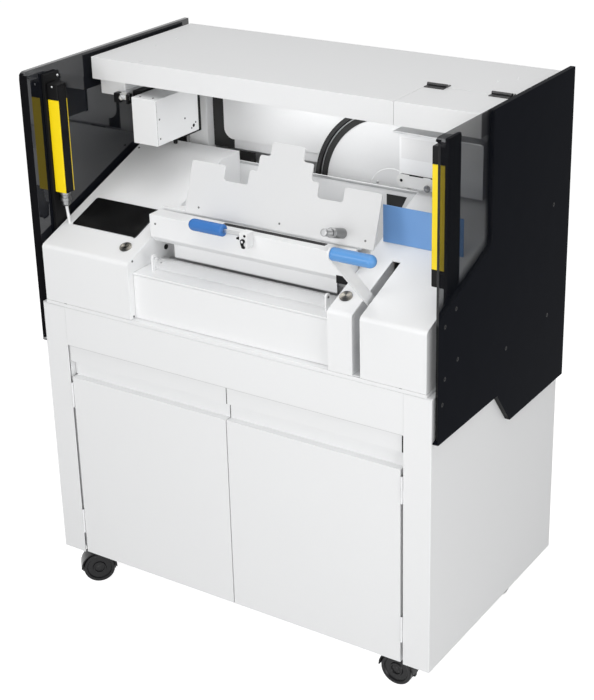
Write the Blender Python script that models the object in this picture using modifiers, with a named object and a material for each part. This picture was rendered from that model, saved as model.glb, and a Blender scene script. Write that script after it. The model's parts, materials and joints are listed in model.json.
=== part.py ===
"""Industrial printer cutter on a two-door cabinet, with smoked side shields.

Metres, +Z up. The floor is z = 0, and x = y = 0 is the middle of the overall box.
Depths are measured back from the cabinet's front face, with depth(); heights of the
cabinet's pieces are measured from its underside, with rise(), and those of the machine
above it from the base plate's top face, with up().
"""
import math

import bmesh
import bpy
from mathutils import Matrix, Vector

# Overall sizes
WIDTH = 1.000
CABINET_DEPTH = 0.592
CABINET_HEIGHT = 0.637
CASTER_HEIGHT = 0.100
MACHINE_HEIGHT = 0.511          # base plate's top face to the cover's top face

# Stock and clearances
SHEET = 0.002
GAP = 0.0003
RUNNING = 0.0007                # side clearance of a piece that swings between two walls

# Cabinet front
STILE_WIDTH = 0.0635
FASCIA_BOTTOM = 0.544
BAND_BOTTOM = 0.502
BAND_RECESS = 0.006
DOOR_TOP = 0.4655
DOOR_BOTTOM = 0.003
DOOR_THICKNESS = 0.020
DOOR_MEETING_GAP = 0.0024
GRIP_CHANNEL_DEPTH = 0.050
GRIP_CHANNEL_LIP = 0.440
HINGE_BARREL_R = 0.003
HINGE_BARREL_LENGTH = 0.063
HINGE_BARREL_HEIGHTS = (0.0870, 0.4200)
HINGE_PIN_R = 0.0015
DOOR_FREE_GAP = 2 * HINGE_BARREL_R + 2 * GAP

# Casters
CASTER_INSET_X = 0.080
CASTER_INSET_Y = 0.070
CASTER_PLATE = 0.060
CASTER_PLATE_THICKNESS = 0.004
WHEEL_R = 0.0375
WHEEL_WIDTH = 0.016
WHEEL_WEB = 0.007
WHEEL_TRAIL = 0.030
WHEEL_AXLE_R = 0.005
HOOD_CLEARANCE = 0.003
HOOD_THICKNESS = 0.003
CASTER_YAWS = {"front_left": 223, "front_right": 180, "rear_left": 300, "rear_right": 265}

# Base plate
BASE_THICKNESS = 0.009
BASE_STEP = 0.0115

# Cowls
COWL_SIDE_GAP = 0.0125
LEFT_COWL_WIDTH = 0.2425
RIGHT_COWL_WIDTH = 0.2255
COWL_FRONT_HEIGHT = 0.1315
SLOPE = math.radians(20.5)
SLOPE_DEPTH = 0.364
COWL_EDGE_R = 0.012

# Lever, its slot and the plates that carry it
SLOT_WIDTH = 0.0185
SLOT_FROM_COWL = 0.057
SLOT_DEPTH = 0.164
CHANNEL_DEPTH = 0.170
LEVER_LENGTH = 0.300
LEVER_ANGLE = math.radians(46)
LEVER_WIDTH = 0.025
LEVER_THICKNESS = 0.004
LEVER_PIVOT_DEPTH = 0.1234
LEVER_PIVOT_UP = 0.0777
LEVER_SHAFT_R = 0.007
GRIP_R = 0.0132
GRIP_LENGTH = 0.100
GRIP_ROD_R = 0.0045

# Loading bay
BAY_FRONT_DEPTH = 0.017
TABLE_UP = 0.1065
TABLE_THICKNESS = 0.005
TABLE_DEPTH = 0.108
BAY_REAR_DEPTH = 0.165
EAR_INSET = 0.034
EAR_THICKNESS = 0.004
EAR_DEPTH = 0.045
EAR_HEIGHT = 0.036
EAR_WIDTH = 0.016
GUARD_HEIGHT = 0.026
GUARD_THICKNESS = 0.003
GUARD_PIN_R = 0.002
ROLLER_R = 0.011
ROLLER_AXLE_R = 0.005
ROLLER_DEPTH = 0.140
ROLLER_UP = 0.092
ROLLER_END_CLEARANCE = 0.010
BLADE_HEIGHT = 0.022
BLADE_UP = 0.089
BLADE_TOOTH = 0.012
MOTOR_SIZE = 0.042
MOTOR_LENGTH = 0.044

# Clamp bar
BAR_FRONT_DEPTH = 0.084
BAR_REAR_DEPTH = 0.124
BAR_TOP_UP = 0.220
BAR_FRONT_EDGE_UP = 0.169
BAR_BOTTOM_UP = 0.154
BAR_TOE_DEPTH = 0.100
BAR_PIVOT_DEPTH = 0.112
BAR_PIVOT_UP = 0.162
BAR_PIN_R = 0.004
HANDLE_DEPTH = 0.065
HANDLE_UP = 0.226
HANDLE_START = 0.115
BRACKET_WIDTH = 0.020
BRACKET_HEIGHT = 0.022
HANDLE_REACH = 0.042
LATCH_R = 0.006
LATCH_LENGTH = 0.022
LATCH_THICKNESS = 0.006

# Guide plate
PLATE_LEAN = math.radians(19.2)
PLATE_DEPTH = 0.127
PLATE_UP = 0.222
PLATE_THICKNESS = 0.0025
PLATE_HEIGHT = 0.115
PLATE_LEFT_MARGIN = 0.065
PLATE_RIGHT_OVERHANG = 0.033
NOTCH_CENTRE = 0.118
NOTCH_WIDTH = 0.062
NOTCH_DEPTH = 0.032
TONGUE_HALF = 0.067
TONGUE_STEP_HEIGHT = 0.036
TONGUE_TOP_HALF = 0.041
TONGUE_HEIGHT = 0.066
FLANGE_HEIGHT = 0.026
PLUNGER_OFFSET = 0.160
PLUNGER_UP = 0.022
PLUNGER_R = 0.011
PLUNGER_BODY = 0.048
PLUNGER_TIP_R = 0.008
PLUNGER_TIP = 0.028
PLUNGER_STEM_R = 0.004

# Screen, buttons and flap on the slopes
SCREEN_WIDTH = 0.177
SCREEN_LENGTH = 0.094
SCREEN_THICKNESS = 0.003
SCREEN_DEPTH = 0.1237
SCREEN_INSET = 0.028
BUTTON_DEPTH = 0.0445
BUTTON_INSETS = (0.0377, 0.0180)
BEZEL_R = 0.0140
BEZEL_HEIGHT = 0.0040
BUTTON_R = 0.0110
BUTTON_THICKNESS = 0.0024
BUTTON_TRAVEL = 0.0025
FLAP_DEPTH = 0.2087
FLAP_FROM_COWL = 0.0075
FLAP_WIDTH = 0.186
FLAP_HEIGHT = 0.081

# Top cover and hatch
COVER_INSET = 0.0125
COVER_FRONT_DEPTH = 0.213
COVER_BACK_MARGIN = 0.006
COVER_FASCIA = 0.050
HATCH_WIDTH = 0.195
HATCH_DEPTH = 0.137
HATCH_SEAM = 0.0008
LEAF_WIDTH = 0.045
LEAF_LENGTH = 0.017
LEAF_THICKNESS = 0.002
KNUCKLE_R = 0.0035
LEAF_INSETS = (0.024, 0.171)

# Head on its rail, under the cover's left end
RAIL_BRACKET_WIDTH = 0.070
RAIL_BRACKET_INSET = 0.0125
RAIL_BRACKET_DROP = 0.085
RAIL_WIDTH = 0.0147
RAIL_HEIGHT = 0.015
RAIL_START_DEPTH = 0.210
RAIL_LENGTH = 0.250
HEAD_WIDTH = 0.067
HEAD_LENGTH = 0.154
HEAD_OVER_COWL = 0.069          # under the head box, over the slope behind it
HEAD_FRONT_DEPTH = 0.198
HEAD_DROP = 0.074
CARRIAGE_WIDTH = 0.0224
CARRIAGE_LENGTH = 0.070
CARRIAGE_INSET = 0.034
FOOT_R = 0.005
FOOT_LENGTH = 0.014

# Back of the machine
BEAM_FROM_BACK = 0.162
BEAM_THICKNESS = 0.0145
BEAM_HEIGHT = 0.241
INNER_PANEL_FROM_BACK = 0.092
INNER_PANEL_LEFT = 0.158
INNER_PANEL_RIGHT = 0.040
INNER_PANEL_BOTTOM_UP = 0.246
INNER_PANEL_THICKNESS = 0.003
COLUMN_WIDTH = 0.053
COLUMN_DEPTH = 0.028
SEAL_WIDTH = 0.025
REEL_R = 0.200
REEL_RIM = 0.010
REEL_WIDTH = 0.040
REEL_DISC = 0.006
REEL_HUB_R = 0.030
REEL_FRONT_FROM_BACK = 0.137
REEL_X = 0.1465
REEL_UP = 0.217
REEL_FACE_SETBACK = 0.007

# Label module on the right, with its swing latch
MODULE_WIDTH = 0.198
MODULE_FROM_RIGHT = 0.080
MODULE_DEPTH = 0.080
MODULE_FROM_BACK = 0.152
MODULE_OVER_COWL = 0.0114
MODULE_HEIGHT = 0.120
MODULE_TOP_PLATE = 0.0035
MODULE_TOP_OVERHANG = 0.010
HANGER_WIDTH = 0.020
LATCH_PLATE_WIDTH = 0.108
LATCH_PLATE_HEIGHT = 0.030
LATCH_PLATE_THICKNESS = 0.004
LATCH_PIVOT_INSET = 0.010
THUMB_R = 0.008
THUMB_LENGTH = 0.010

# Side shields and light curtains
SHIELD_THICKNESS = 0.012
SHIELD_DEPTH = 0.5955
SHIELD_ABOVE_COVER = 0.010
SHIELD_FRONT_BOTTOM = 0.538
SHIELD_BACK_BOTTOM = 0.4545
SHIELD_STEP_DEPTHS = (0.263, 0.328)
SHIELD_CORNER_R = 0.016
CURTAIN_WIDTH = 0.030
CURTAIN_THICKNESS = 0.030
CURTAIN_FRONT_DEPTH = 0.064
CURTAIN_UP = 0.236
CURTAIN_HEIGHT = 0.212
CURTAIN_CAP = 0.0365
STRAP_FRONT_DEPTH = 0.050
STRAP_WIDTH = 0.058
STRAP_THICKNESS = 0.0084
STRAP_UP = 0.064
STRAP_HEIGHT = 0.440

# What the cabinet holds
CONTROL_BOX = (0.380, 0.250, 0.300)
INLET_SIZE = (0.058, 0.003, 0.048)
INLET_FROM_RIGHT = 0.170
INLET_HEIGHT = 0.080

OVERHANG = LEVER_LENGTH * math.cos(LEVER_ANGLE) - LEVER_PIVOT_DEPTH + GRIP_R
FRONT = (OVERHANG - SHIELD_DEPTH) / 2
HALF = WIDTH / 2
BACK_DEPTH = CABINET_DEPTH
DECK = CASTER_HEIGHT + CABINET_HEIGHT + BASE_THICKNESS + GAP
LEFT_COWL = (-HALF + COWL_SIDE_GAP, -HALF + COWL_SIDE_GAP + LEFT_COWL_WIDTH)
RIGHT_COWL = (HALF - COWL_SIDE_GAP - RIGHT_COWL_WIDTH, HALF - COWL_SIDE_GAP)
BAY = (LEFT_COWL[1], RIGHT_COWL[0])
SLOT = (RIGHT_COWL[0] + SLOT_FROM_COWL, RIGHT_COWL[0] + SLOT_FROM_COWL + SLOT_WIDTH)
SLOT_MIDDLE = (SLOT[0] + SLOT[1]) / 2
COVER = (-HALF + COVER_INSET, HALF - COVER_INSET)

PARTS = None
CUTTERS = None


def depth(distance):
    """World y of a point this far behind the cabinet's front face."""
    return FRONT + distance


def rise(height):
    """World z of a point this far above the cabinet's underside."""
    return CASTER_HEIGHT + height


def up(height):
    """World z of a point this far above the base plate's top face."""
    return DECK + height


def slope_up(distance):
    """Height over the base plate of the cowls' slope, this far behind the front."""
    return COWL_FRONT_HEIGHT + distance * math.tan(SLOPE)


COVER_TOP = up(MACHINE_HEIGHT)
COVER_UNDERSIDE = COVER_TOP - SHEET


# ---------------------------------------------------------------- building tools

def new_material(name, colour, roughness, metallic=0.0, alpha=1.0):
    material = bpy.data.materials.new(name)
    material.use_nodes = True
    shader = material.node_tree.nodes["Principled BSDF"]
    shader.inputs["Base Color"].default_value = (*colour, 1.0)
    shader.inputs["Roughness"].default_value = roughness
    shader.inputs["Metallic"].default_value = metallic
    shader.inputs["Alpha"].default_value = alpha
    return material


def add_object(name, mesh, material):
    obj = bpy.data.objects.new(name, mesh)
    mesh.materials.clear()
    mesh.materials.append(material)
    PARTS.objects.link(obj)
    return obj


def box(name, material, x, y, z, bevel=0.0):
    """A block between two values of x, of y and of z."""
    mesh = bpy.data.meshes.new(name)
    shape = bmesh.new()
    bmesh.ops.create_cube(shape, size=1.0)
    size = Vector((x[1] - x[0], y[1] - y[0], z[1] - z[0]))
    middle = Vector((x[0] + x[1], y[0] + y[1], z[0] + z[1])) / 2
    bmesh.ops.scale(shape, vec=size, verts=shape.verts)
    bmesh.ops.translate(shape, vec=middle, verts=shape.verts)
    shape.to_mesh(mesh)
    shape.free()
    obj = add_object(name, mesh, material)
    if bevel:
        add_bevel(obj, bevel)
    return obj


def add_bevel(obj, width, segments=1):
    modifier = obj.modifiers.new("Edges", "BEVEL")
    modifier.width = width
    modifier.segments = segments
    modifier.limit_method = "ANGLE"


PLANES = {
    "X": Matrix(((0, 0, 1, 0), (1, 0, 0, 0), (0, 1, 0, 0), (0, 0, 0, 1))),
    "Y": Matrix(((1, 0, 0, 0), (0, 0, -1, 0), (0, 1, 0, 0), (0, 0, 0, 1))),
    "Z": Matrix.Identity(4),
}


def slab(name, material, along, points, low, high, bevel=0.0):
    """A flat outline, extruded along one axis from low to high.

    The outline's points are (y, z) for X, (x, z) for Y and (x, y) for Z.
    """
    curve = bpy.data.curves.new(name, "CURVE")
    curve.dimensions = "2D"
    curve.fill_mode = "BOTH"
    curve.extrude = (high - low) / 2
    spline = curve.splines.new("POLY")
    spline.points.add(len(points) - 1)
    for point, (a, b) in zip(spline.points, points):
        point.co = (a, b, 0.0, 1.0)
    spline.use_cyclic_u = True
    flat = bpy.data.objects.new(name + "_outline", curve)
    PARTS.objects.link(flat)
    middle = Vector((0.0, 0.0, 0.0))
    middle["XYZ".index(along)] = (low + high) / 2
    flat.matrix_world = Matrix.Translation(middle) @ PLANES[along]
    obj = made_mesh(name, material, flat)
    if bevel:
        add_bevel(obj, bevel)
    return obj


def made_mesh(name, material, source):
    """A mesh object with a curve object's finished shape; the curve goes."""
    bpy.context.view_layer.update()
    graph = bpy.context.evaluated_depsgraph_get()
    mesh = bpy.data.meshes.new_from_object(source.evaluated_get(graph))
    shape = bmesh.new()
    shape.from_mesh(mesh)
    bmesh.ops.remove_doubles(shape, verts=shape.verts, dist=0.00005)
    shape.to_mesh(mesh)
    shape.free()
    obj = add_object(name, mesh, material)
    obj.matrix_world = source.matrix_world
    bpy.data.objects.remove(source)
    return obj


TURN_AXES = {
    "X": Matrix.Rotation(math.radians(90), 4, "Y"),
    "Y": Matrix.Rotation(math.radians(-90), 4, "X"),
    "Z": Matrix.Identity(4),
}


def turned(name, material, axis, start, profile, steps=24, turn=None):
    """A lathe shape. The profile's (along, radius) points start at its far end.

    It runs from start along the axis; turn is its own rotation where it has no axis.
    """
    mesh = bpy.data.meshes.new(name)
    shape = bmesh.new()
    corners = [shape.verts.new((radius, 0.0, along)) for along, radius in profile]
    for first, second in zip(corners, corners[1:]):
        shape.edges.new((first, second))
    shape.to_mesh(mesh)
    shape.free()
    obj = add_object(name, mesh, material)
    screw = obj.modifiers.new("Turning", "SCREW")
    screw.steps = steps
    screw.render_steps = steps
    screw.use_merge_vertices = True
    screw.merge_threshold = 0.00005
    obj.matrix_world = Matrix.Translation(start) @ (turn or TURN_AXES[axis])
    return obj


def rod_profile(length, radius, chamfer=0.0):
    """A plain rod, from its far end back to its start."""
    if not chamfer:
        return [(length, 0.0), (length, radius), (0.0, radius), (0.0, 0.0)]
    return [
        (length, 0.0), (length, radius - chamfer), (length - chamfer, radius),
        (chamfer, radius), (0.0, radius - chamfer), (0.0, 0.0),
    ]


def use_as_cutter(obj):
    for collection in obj.users_collection:
        collection.objects.unlink(obj)
    CUTTERS.objects.link(obj)
    obj.hide_render = True
    obj.display_type = "WIRE"


def boolean(target, tool, operation):
    modifier = target.modifiers.new(tool.name, "BOOLEAN")
    modifier.operation = operation
    modifier.object = tool
    use_as_cutter(tool)


def cut(target, tool):
    boolean(target, tool, "DIFFERENCE")


def join(target, tool):
    boolean(target, tool, "UNION")


def place_origin(obj, point):
    """Puts a moving piece's origin on its joint's axis and leaves the piece where it is."""
    bpy.context.view_layer.update()
    world = obj.matrix_world.copy()
    rotation = world.to_3x3().to_4x4()
    moved = Matrix.Translation(point) @ rotation
    obj.data.transform(moved.inverted() @ world)
    obj.matrix_world = moved


def hang_on_axis(name, point, pieces):
    """Parents pieces that swing together to an empty on their joint's axis."""
    axis = bpy.data.objects.new(name, None)
    axis.location = point
    PARTS.objects.link(axis)
    bpy.context.view_layer.update()
    for piece in pieces:
        piece.parent = axis
        piece.matrix_parent_inverse = axis.matrix_world.inverted()


def arc(centre, radius, start, end, steps):
    """Points on an arc, with angles in degrees."""
    points = []
    for index in range(steps + 1):
        angle = math.radians(start + (end - start) * index / steps)
        points.append((centre[0] + radius * math.cos(angle), centre[1] + radius * math.sin(angle)))
    return points


# ---------------------------------------------------------------- cabinet

def build_cabinet(m):
    inner = HALF - SHEET - GAP
    sides = []
    for side, name in ((-1, "side_left"), (1, "side_right")):
        outline = [
            (side * HALF, depth(0)), (side * (HALF - STILE_WIDTH), depth(0)),
            (side * (HALF - STILE_WIDTH), depth(SHEET)), (side * (HALF - SHEET), depth(SHEET)),
            (side * (HALF - SHEET), depth(BACK_DEPTH)), (side * HALF, depth(BACK_DEPTH)),
        ]
        sides.append(slab(name, m["white"], "Z", outline, rise(0), rise(CABINET_HEIGHT)))
    box("cabinet_back", m["white"], (-inner, inner), (depth(BACK_DEPTH - SHEET), depth(BACK_DEPTH)),
        (rise(0), rise(CABINET_HEIGHT)))
    floor_back = depth(BACK_DEPTH - SHEET) - GAP
    floor = box("cabinet_floor", m["white"], (-inner, inner),
                (depth(DOOR_THICKNESS + 5 * GAP), floor_back), (rise(0), rise(SHEET)))
    half = CASTER_PLATE / 2
    for corner, centre, yaw in caster_places():
        plate = box("plate_" + corner, m["black"], (centre.x - half, centre.x + half),
                    (centre.y - half, centre.y + half), (rise(-CASTER_PLATE_THICKNESS), rise(SHEET / 2)))
        join(floor, plate)
    edge = HALF - STILE_WIDTH - GAP
    face = [
        (depth(0), rise(CABINET_HEIGHT)), (depth(0), rise(FASCIA_BOTTOM)),
        (depth(BAND_RECESS), rise(FASCIA_BOTTOM)), (depth(BAND_RECESS), rise(BAND_BOTTOM)),
        (depth(GRIP_CHANNEL_DEPTH), rise(BAND_BOTTOM)),
        (depth(GRIP_CHANNEL_DEPTH), rise(GRIP_CHANNEL_LIP)),
        (depth(GRIP_CHANNEL_DEPTH + SHEET), rise(GRIP_CHANNEL_LIP)),
        (depth(GRIP_CHANNEL_DEPTH + SHEET), rise(BAND_BOTTOM + SHEET)),
        (depth(BAND_RECESS + SHEET), rise(BAND_BOTTOM + SHEET)),
        (depth(BAND_RECESS + SHEET), rise(FASCIA_BOTTOM + SHEET)),
        (depth(SHEET), rise(FASCIA_BOTTOM + SHEET)), (depth(SHEET), rise(CABINET_HEIGHT)),
    ]
    slab("upper_fascia", m["white"], "X", face, -edge, edge)
    top = rise(CABINET_HEIGHT) + GAP
    step = HALF - BASE_STEP
    plate = [
        (-HALF, top), (HALF, top), (HALF, top + SHEET), (step, top + SHEET),
        (step, top + BASE_THICKNESS - GAP), (-step, top + BASE_THICKNESS - GAP),
        (-step, top + SHEET), (-HALF, top + SHEET),
    ]
    slab("machine_base", m["white"], "Y", plate, depth(0), depth(BACK_DEPTH))
    return sides


def build_doors(m, sides):
    """Two doors, each on two welded-on pin hinges in the gap beside its stile."""
    stile = HALF - STILE_WIDTH
    hinge_x = stile - GAP - HINGE_BARREL_R
    for side, name, frame in zip((-1, 1), ("door_left", "door_right"), sides):
        low, high = sorted((side * (stile - DOOR_FREE_GAP), side * DOOR_MEETING_GAP / 2))
        door = box(name, m["white"], (low, high), (depth(0), depth(DOOR_THICKNESS)),
                   (rise(DOOR_BOTTOM), rise(DOOR_TOP)))
        hollow = box(name + "_hollow", m["white"], (low + SHEET, high - SHEET),
                     (depth(SHEET), depth(2 * DOOR_THICKNESS)),
                     (rise(DOOR_BOTTOM) + SHEET, rise(DOOR_TOP) - SHEET))
        cut(door, hollow)
        for index, middle in enumerate(HINGE_BARREL_HEIGHTS):
            tag = "%s_%d" % (name, index)
            join_hinge(m, tag, door, frame, side, hinge_x, rise(middle))
        place_origin(door, Vector((side * hinge_x, depth(0), rise(DOOR_BOTTOM))))


def join_hinge(m, tag, door, frame, side, hinge_x, middle):
    """Lower barrel with its pin on the cabinet's stile, upper barrel on the door."""
    half = HINGE_BARREL_LENGTH / 2
    axis = Vector((side * hinge_x, depth(0), middle - half))
    pin = [
        (2 * half, 0.0), (2 * half, HINGE_PIN_R), (half, HINGE_PIN_R),
        (half, HINGE_BARREL_R), (0.0, HINGE_BARREL_R), (0.0, 0.0),
    ]
    join(frame, turned(tag + "_pin", m["steel"], "Z", axis, pin, 16))
    reach = HINGE_BARREL_R - GAP
    weld = sorted((side * (hinge_x + HINGE_BARREL_R / 2), side * (hinge_x + HINGE_BARREL_R + SHEET)))
    join(frame, box(tag + "_frame_weld", m["steel"], weld, (depth(GAP), depth(SHEET - GAP)),
                    (middle - reach * 8, middle - 2 * GAP)))
    bore = HINGE_PIN_R + GAP
    barrel = [(half, bore), (half, HINGE_BARREL_R), (GAP, HINGE_BARREL_R), (GAP, bore), (half, bore)]
    axis.z = middle
    join(door, turned(tag + "_barrel", m["steel"], "Z", axis, barrel, 16))
    wall_middle = (bore + HINGE_BARREL_R) / 2
    weld = sorted((side * (hinge_x - wall_middle), side * (hinge_x - HINGE_BARREL_R - SHEET)))
    join(door, box(tag + "_door_weld", m["steel"], weld, (depth(GAP), depth(SHEET - GAP)),
                   (middle + 2 * GAP, middle + reach * 8)))


def caster_places():
    for corner, yaw in CASTER_YAWS.items():
        x = HALF - CASTER_INSET_X
        front = corner.startswith("front")
        y = depth(CASTER_INSET_Y if front else BACK_DEPTH - CASTER_INSET_Y)
        yield corner, Vector((x if corner.endswith("right") else -x, y, 0.0)), math.radians(yaw)


def build_casters(m):
    for corner, centre, yaw in caster_places():
        build_caster(m, corner, centre, yaw, rise(-CASTER_PLATE_THICKNESS) - GAP)


def build_caster(m, corner, centre, yaw, head_top):
    """One twin-wheel caster, made with its trail along +X and then swung to its yaw."""
    inner_r = WHEEL_R + HOOD_CLEARANCE
    outer_r = inner_r + HOOD_THICKNESS
    hood_half = WHEEL_WEB / 2 + GAP + WHEEL_WIDTH + GAP
    hub = (WHEEL_TRAIL, WHEEL_R)
    crescent = arc(hub, outer_r, 0, 180, 12) + arc(hub, inner_r, 180, 0, 12)
    fork = slab("caster_fork_" + corner, m["black"], "Y", crescent, -hood_half, hood_half)
    web_points = arc(hub, (inner_r + outer_r) / 2, -20, 200, 14)
    join(fork, slab("web_" + corner, m["black"], "Y", web_points, -WHEEL_WEB / 2, WHEEL_WEB / 2))
    head_bottom = WHEEL_R + inner_r * math.cos(math.asin((WHEEL_TRAIL - CASTER_PLATE * 0.3) / inner_r))
    head = turned("head_" + corner, m["black"], "Z", Vector((0, 0, head_bottom - HOOD_CLEARANCE / 2)),
                  rod_profile(head_top - head_bottom + HOOD_CLEARANCE / 2, CASTER_PLATE * 0.3), 20)
    join(fork, head)
    bore_half = WHEEL_WEB
    cut(fork, turned("axle_hole_" + corner, m["black"], "Y", Vector((hub[0], -bore_half, hub[1])),
                     rod_profile(2 * bore_half, WHEEL_AXLE_R + GAP), 20))
    wheel = build_wheels(m, corner, hub)
    swing = Matrix.Translation(centre) @ Matrix.Rotation(yaw, 4, "Z")
    tools = [modifier.object for modifier in fork.modifiers]
    for obj in [fork, wheel] + tools:
        bpy.context.view_layer.update()
        obj.matrix_world = swing @ obj.matrix_world
    place_origin(fork, centre)
    place_origin(wheel, swing @ Vector((hub[0], 0.0, hub[1])))


def build_wheels(m, corner, hub):
    inner = WHEEL_WEB / 2 + GAP
    outer = inner + WHEEL_WIDTH
    edge = 0.003
    profile = [
        (outer, 0.0), (outer, WHEEL_R - edge), (outer - edge, WHEEL_R), (inner, WHEEL_R),
        (inner, WHEEL_AXLE_R), (-inner, WHEEL_AXLE_R), (-inner, WHEEL_R),
        (-outer + edge, WHEEL_R), (-outer, WHEEL_R - edge), (-outer, 0.0),
    ]
    start = Vector((hub[0], 0.0, hub[1]))
    return turned("caster_wheel_" + corner, m["black"], "Y", start, profile, 28)


# ---------------------------------------------------------------- cowls

def cowl_outline(inset):
    """Outline (y, z) of a cowl's side, moved inwards by inset except at the bottom."""
    edge_r = COWL_EDGE_R - inset
    corner_y = COWL_EDGE_R
    corner_z = slope_up(COWL_EDGE_R) - COWL_EDGE_R / math.cos(SLOPE)
    centre = (depth(corner_y), up(corner_z))
    turn = math.degrees(SLOPE)
    shelf = slope_up(SLOPE_DEPTH) - inset
    shelf_start = SLOPE_DEPTH + inset * math.tan(SLOPE / 2)
    back = BACK_DEPTH - BEAM_FROM_BACK - GAP - inset
    points = [(depth(inset), up(GAP if not inset else -SHEET))]
    points += arc(centre, edge_r, 180, 90 + turn, 4)
    points += [
        (depth(shelf_start), up(shelf)), (depth(back), up(shelf)),
        (depth(back), up(GAP if not inset else -SHEET)),
    ]
    return points


def build_cowl(m, name, across):
    cowl = slab(name, m["white"], "X", cowl_outline(0.0), across[0], across[1])
    hollow = slab(name + "_hollow", m["white"], "X", cowl_outline(SHEET),
                  across[0] + SHEET, across[1] - SHEET)
    cut(cowl, hollow)
    return cowl


def build_cowls(m):
    left = build_cowl(m, "cowl_left", LEFT_COWL)
    right = build_cowl(m, "cowl_right", RIGHT_COWL)
    for cowl, wall in ((left, LEFT_COWL[1] - SHEET), (right, RIGHT_COWL[0])):
        for bore, distance, height, radius in (
            ("bar_bore", BAR_PIVOT_DEPTH, BAR_PIVOT_UP, BAR_PIN_R),
            ("roller_bore", ROLLER_DEPTH, ROLLER_UP, ROLLER_AXLE_R),
        ):
            start = Vector((wall - SHEET, depth(distance), up(height)))
            cut(cowl, turned(cowl.name + "_" + bore, m["white"], "X", start,
                             rod_profile(3 * SHEET, radius + GAP), 20))
    slot = box("slot", m["white"], SLOT, (depth(-0.01), depth(SLOT_DEPTH)),
               (up(-0.01), up(slope_up(SLOT_DEPTH) + SHEET)))
    cut(right, slot)


def build_slot_channel(m):
    """Folded steel channel under the slot: its two walls carry the lever's shaft."""
    under = SHEET + GAP
    low = up(GAP)
    outline = [
        (depth(under), low), (depth(under), up(COWL_FRONT_HEIGHT - COWL_EDGE_R)),
        (depth(COWL_EDGE_R), up(slope_up(COWL_EDGE_R) - 2 * under)),
        (depth(CHANNEL_DEPTH), up(slope_up(CHANNEL_DEPTH) - 2 * under)), (depth(CHANNEL_DEPTH), low),
    ]
    left, right = SLOT[0] - GAP - SHEET, SLOT[1] + GAP + SHEET
    channel = slab("slot_channel", m["steel"], "X", outline, left, right)
    cut(channel, box("channel_space", m["steel"], (left + SHEET, right - SHEET),
                     (depth(-SHEET), depth(CHANNEL_DEPTH + SHEET)),
                     (low + SHEET, up(slope_up(CHANNEL_DEPTH)))))
    start = Vector((left - SHEET, depth(LEVER_PIVOT_DEPTH), up(LEVER_PIVOT_UP)))
    cut(channel, turned("shaft_holes", m["steel"], "X", start,
                        rod_profile(right - left + 2 * SHEET, LEVER_SHAFT_R + GAP), 24))


# ---------------------------------------------------------------- lever

def grip_profile():
    """A moulded grip with a round nose and a blind bore, from the nose to the open end."""
    nose = GRIP_LENGTH - GRIP_R
    edge = 0.002
    profile = arc((nose, 0.0), GRIP_R, 0, 90, 6)
    profile += [
        (edge, GRIP_R), (0.0, GRIP_R - edge), (0.0, GRIP_ROD_R + GAP),
        (nose, GRIP_ROD_R + GAP), (nose, 0.0),
    ]
    return profile


def build_lever(m):
    pivot = Vector((SLOT_MIDDLE, depth(LEVER_PIVOT_DEPTH), up(LEVER_PIVOT_UP)))
    reach = Vector((0.0, -math.cos(LEVER_ANGLE), math.sin(LEVER_ANGLE))) * LEVER_LENGTH
    tip = pivot + reach
    lean = 180 - math.degrees(LEVER_ANGLE)
    outline = arc((tip.y, tip.z), LEVER_WIDTH / 2, lean - 90, lean + 90, 8)
    outline += arc((pivot.y, pivot.z), LEVER_WIDTH / 2, lean + 90, lean + 270, 8)
    half = LEVER_THICKNESS / 2
    arm = slab("lever_arm", m["white"], "X", outline, SLOT_MIDDLE - half, SLOT_MIDDLE + half)
    overlap = half
    shaft_half = SLOT_WIDTH / 2 + GAP + SHEET + 2 * SHEET
    join(arm, turned("lever_shaft", m["steel"], "X", pivot - Vector((shaft_half, 0, 0)),
                     rod_profile(2 * shaft_half, LEVER_SHAFT_R), 20))
    rod_length = overlap + GRIP_LENGTH - 2 * GRIP_R
    join(arm, turned("lever_rod", m["steel"], "X", tip, rod_profile(rod_length, GRIP_ROD_R), 16))
    handle = turned("grip_right", m["blue"], "X", tip + Vector((half + GAP, 0, 0)), grip_profile(), 24)
    hang_on_axis("lever_axis", pivot, (arm, handle))


# ---------------------------------------------------------------- loading bay

def build_bay(m):
    left, right = BAY[0] + GAP, BAY[1] - GAP
    table_low = TABLE_UP - TABLE_THICKNESS
    box("bay_front", m["white"], (left, right), (depth(BAY_FRONT_DEPTH), depth(BAY_FRONT_DEPTH + SHEET)),
        (up(GAP), up(table_low - GAP)))
    table = box("bay_table", m["white"], (left, right),
                (depth(BAY_FRONT_DEPTH), depth(BAY_FRONT_DEPTH + TABLE_DEPTH)),
                (up(table_low), up(TABLE_UP)))
    pin_up = TABLE_UP + EAR_HEIGHT - EAR_WIDTH / 2
    pin_depth = EAR_DEPTH + EAR_WIDTH / 2
    for side, inner in ((-1, BAY[0] + EAR_INSET), (1, BAY[1] - EAR_INSET)):
        low, high = sorted((inner, inner + side * EAR_THICKNESS))
        outline = [(depth(EAR_DEPTH), up(table_low + SHEET))]
        outline += arc((depth(pin_depth), up(pin_up)), EAR_WIDTH / 2, 180, 0, 6)
        outline += [(depth(EAR_DEPTH + EAR_WIDTH), up(table_low + SHEET))]
        ear = slab("ear_%d" % side, m["white"], "X", outline, low, high)
        join(table, ear)
    for side, inner in ((-1, BAY[0] + EAR_INSET), (1, BAY[1] - EAR_INSET)):
        start = Vector((inner - EAR_THICKNESS, depth(pin_depth), up(pin_up)))
        cut(table, turned("ear_hole_%d" % side, m["white"], "X", start,
                          rod_profile(2 * EAR_THICKNESS, GUARD_PIN_R + GAP), 12))
    build_guard(m, pin_depth, pin_up)
    build_bay_rear(m, left, right)
    build_feed(m)


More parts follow.
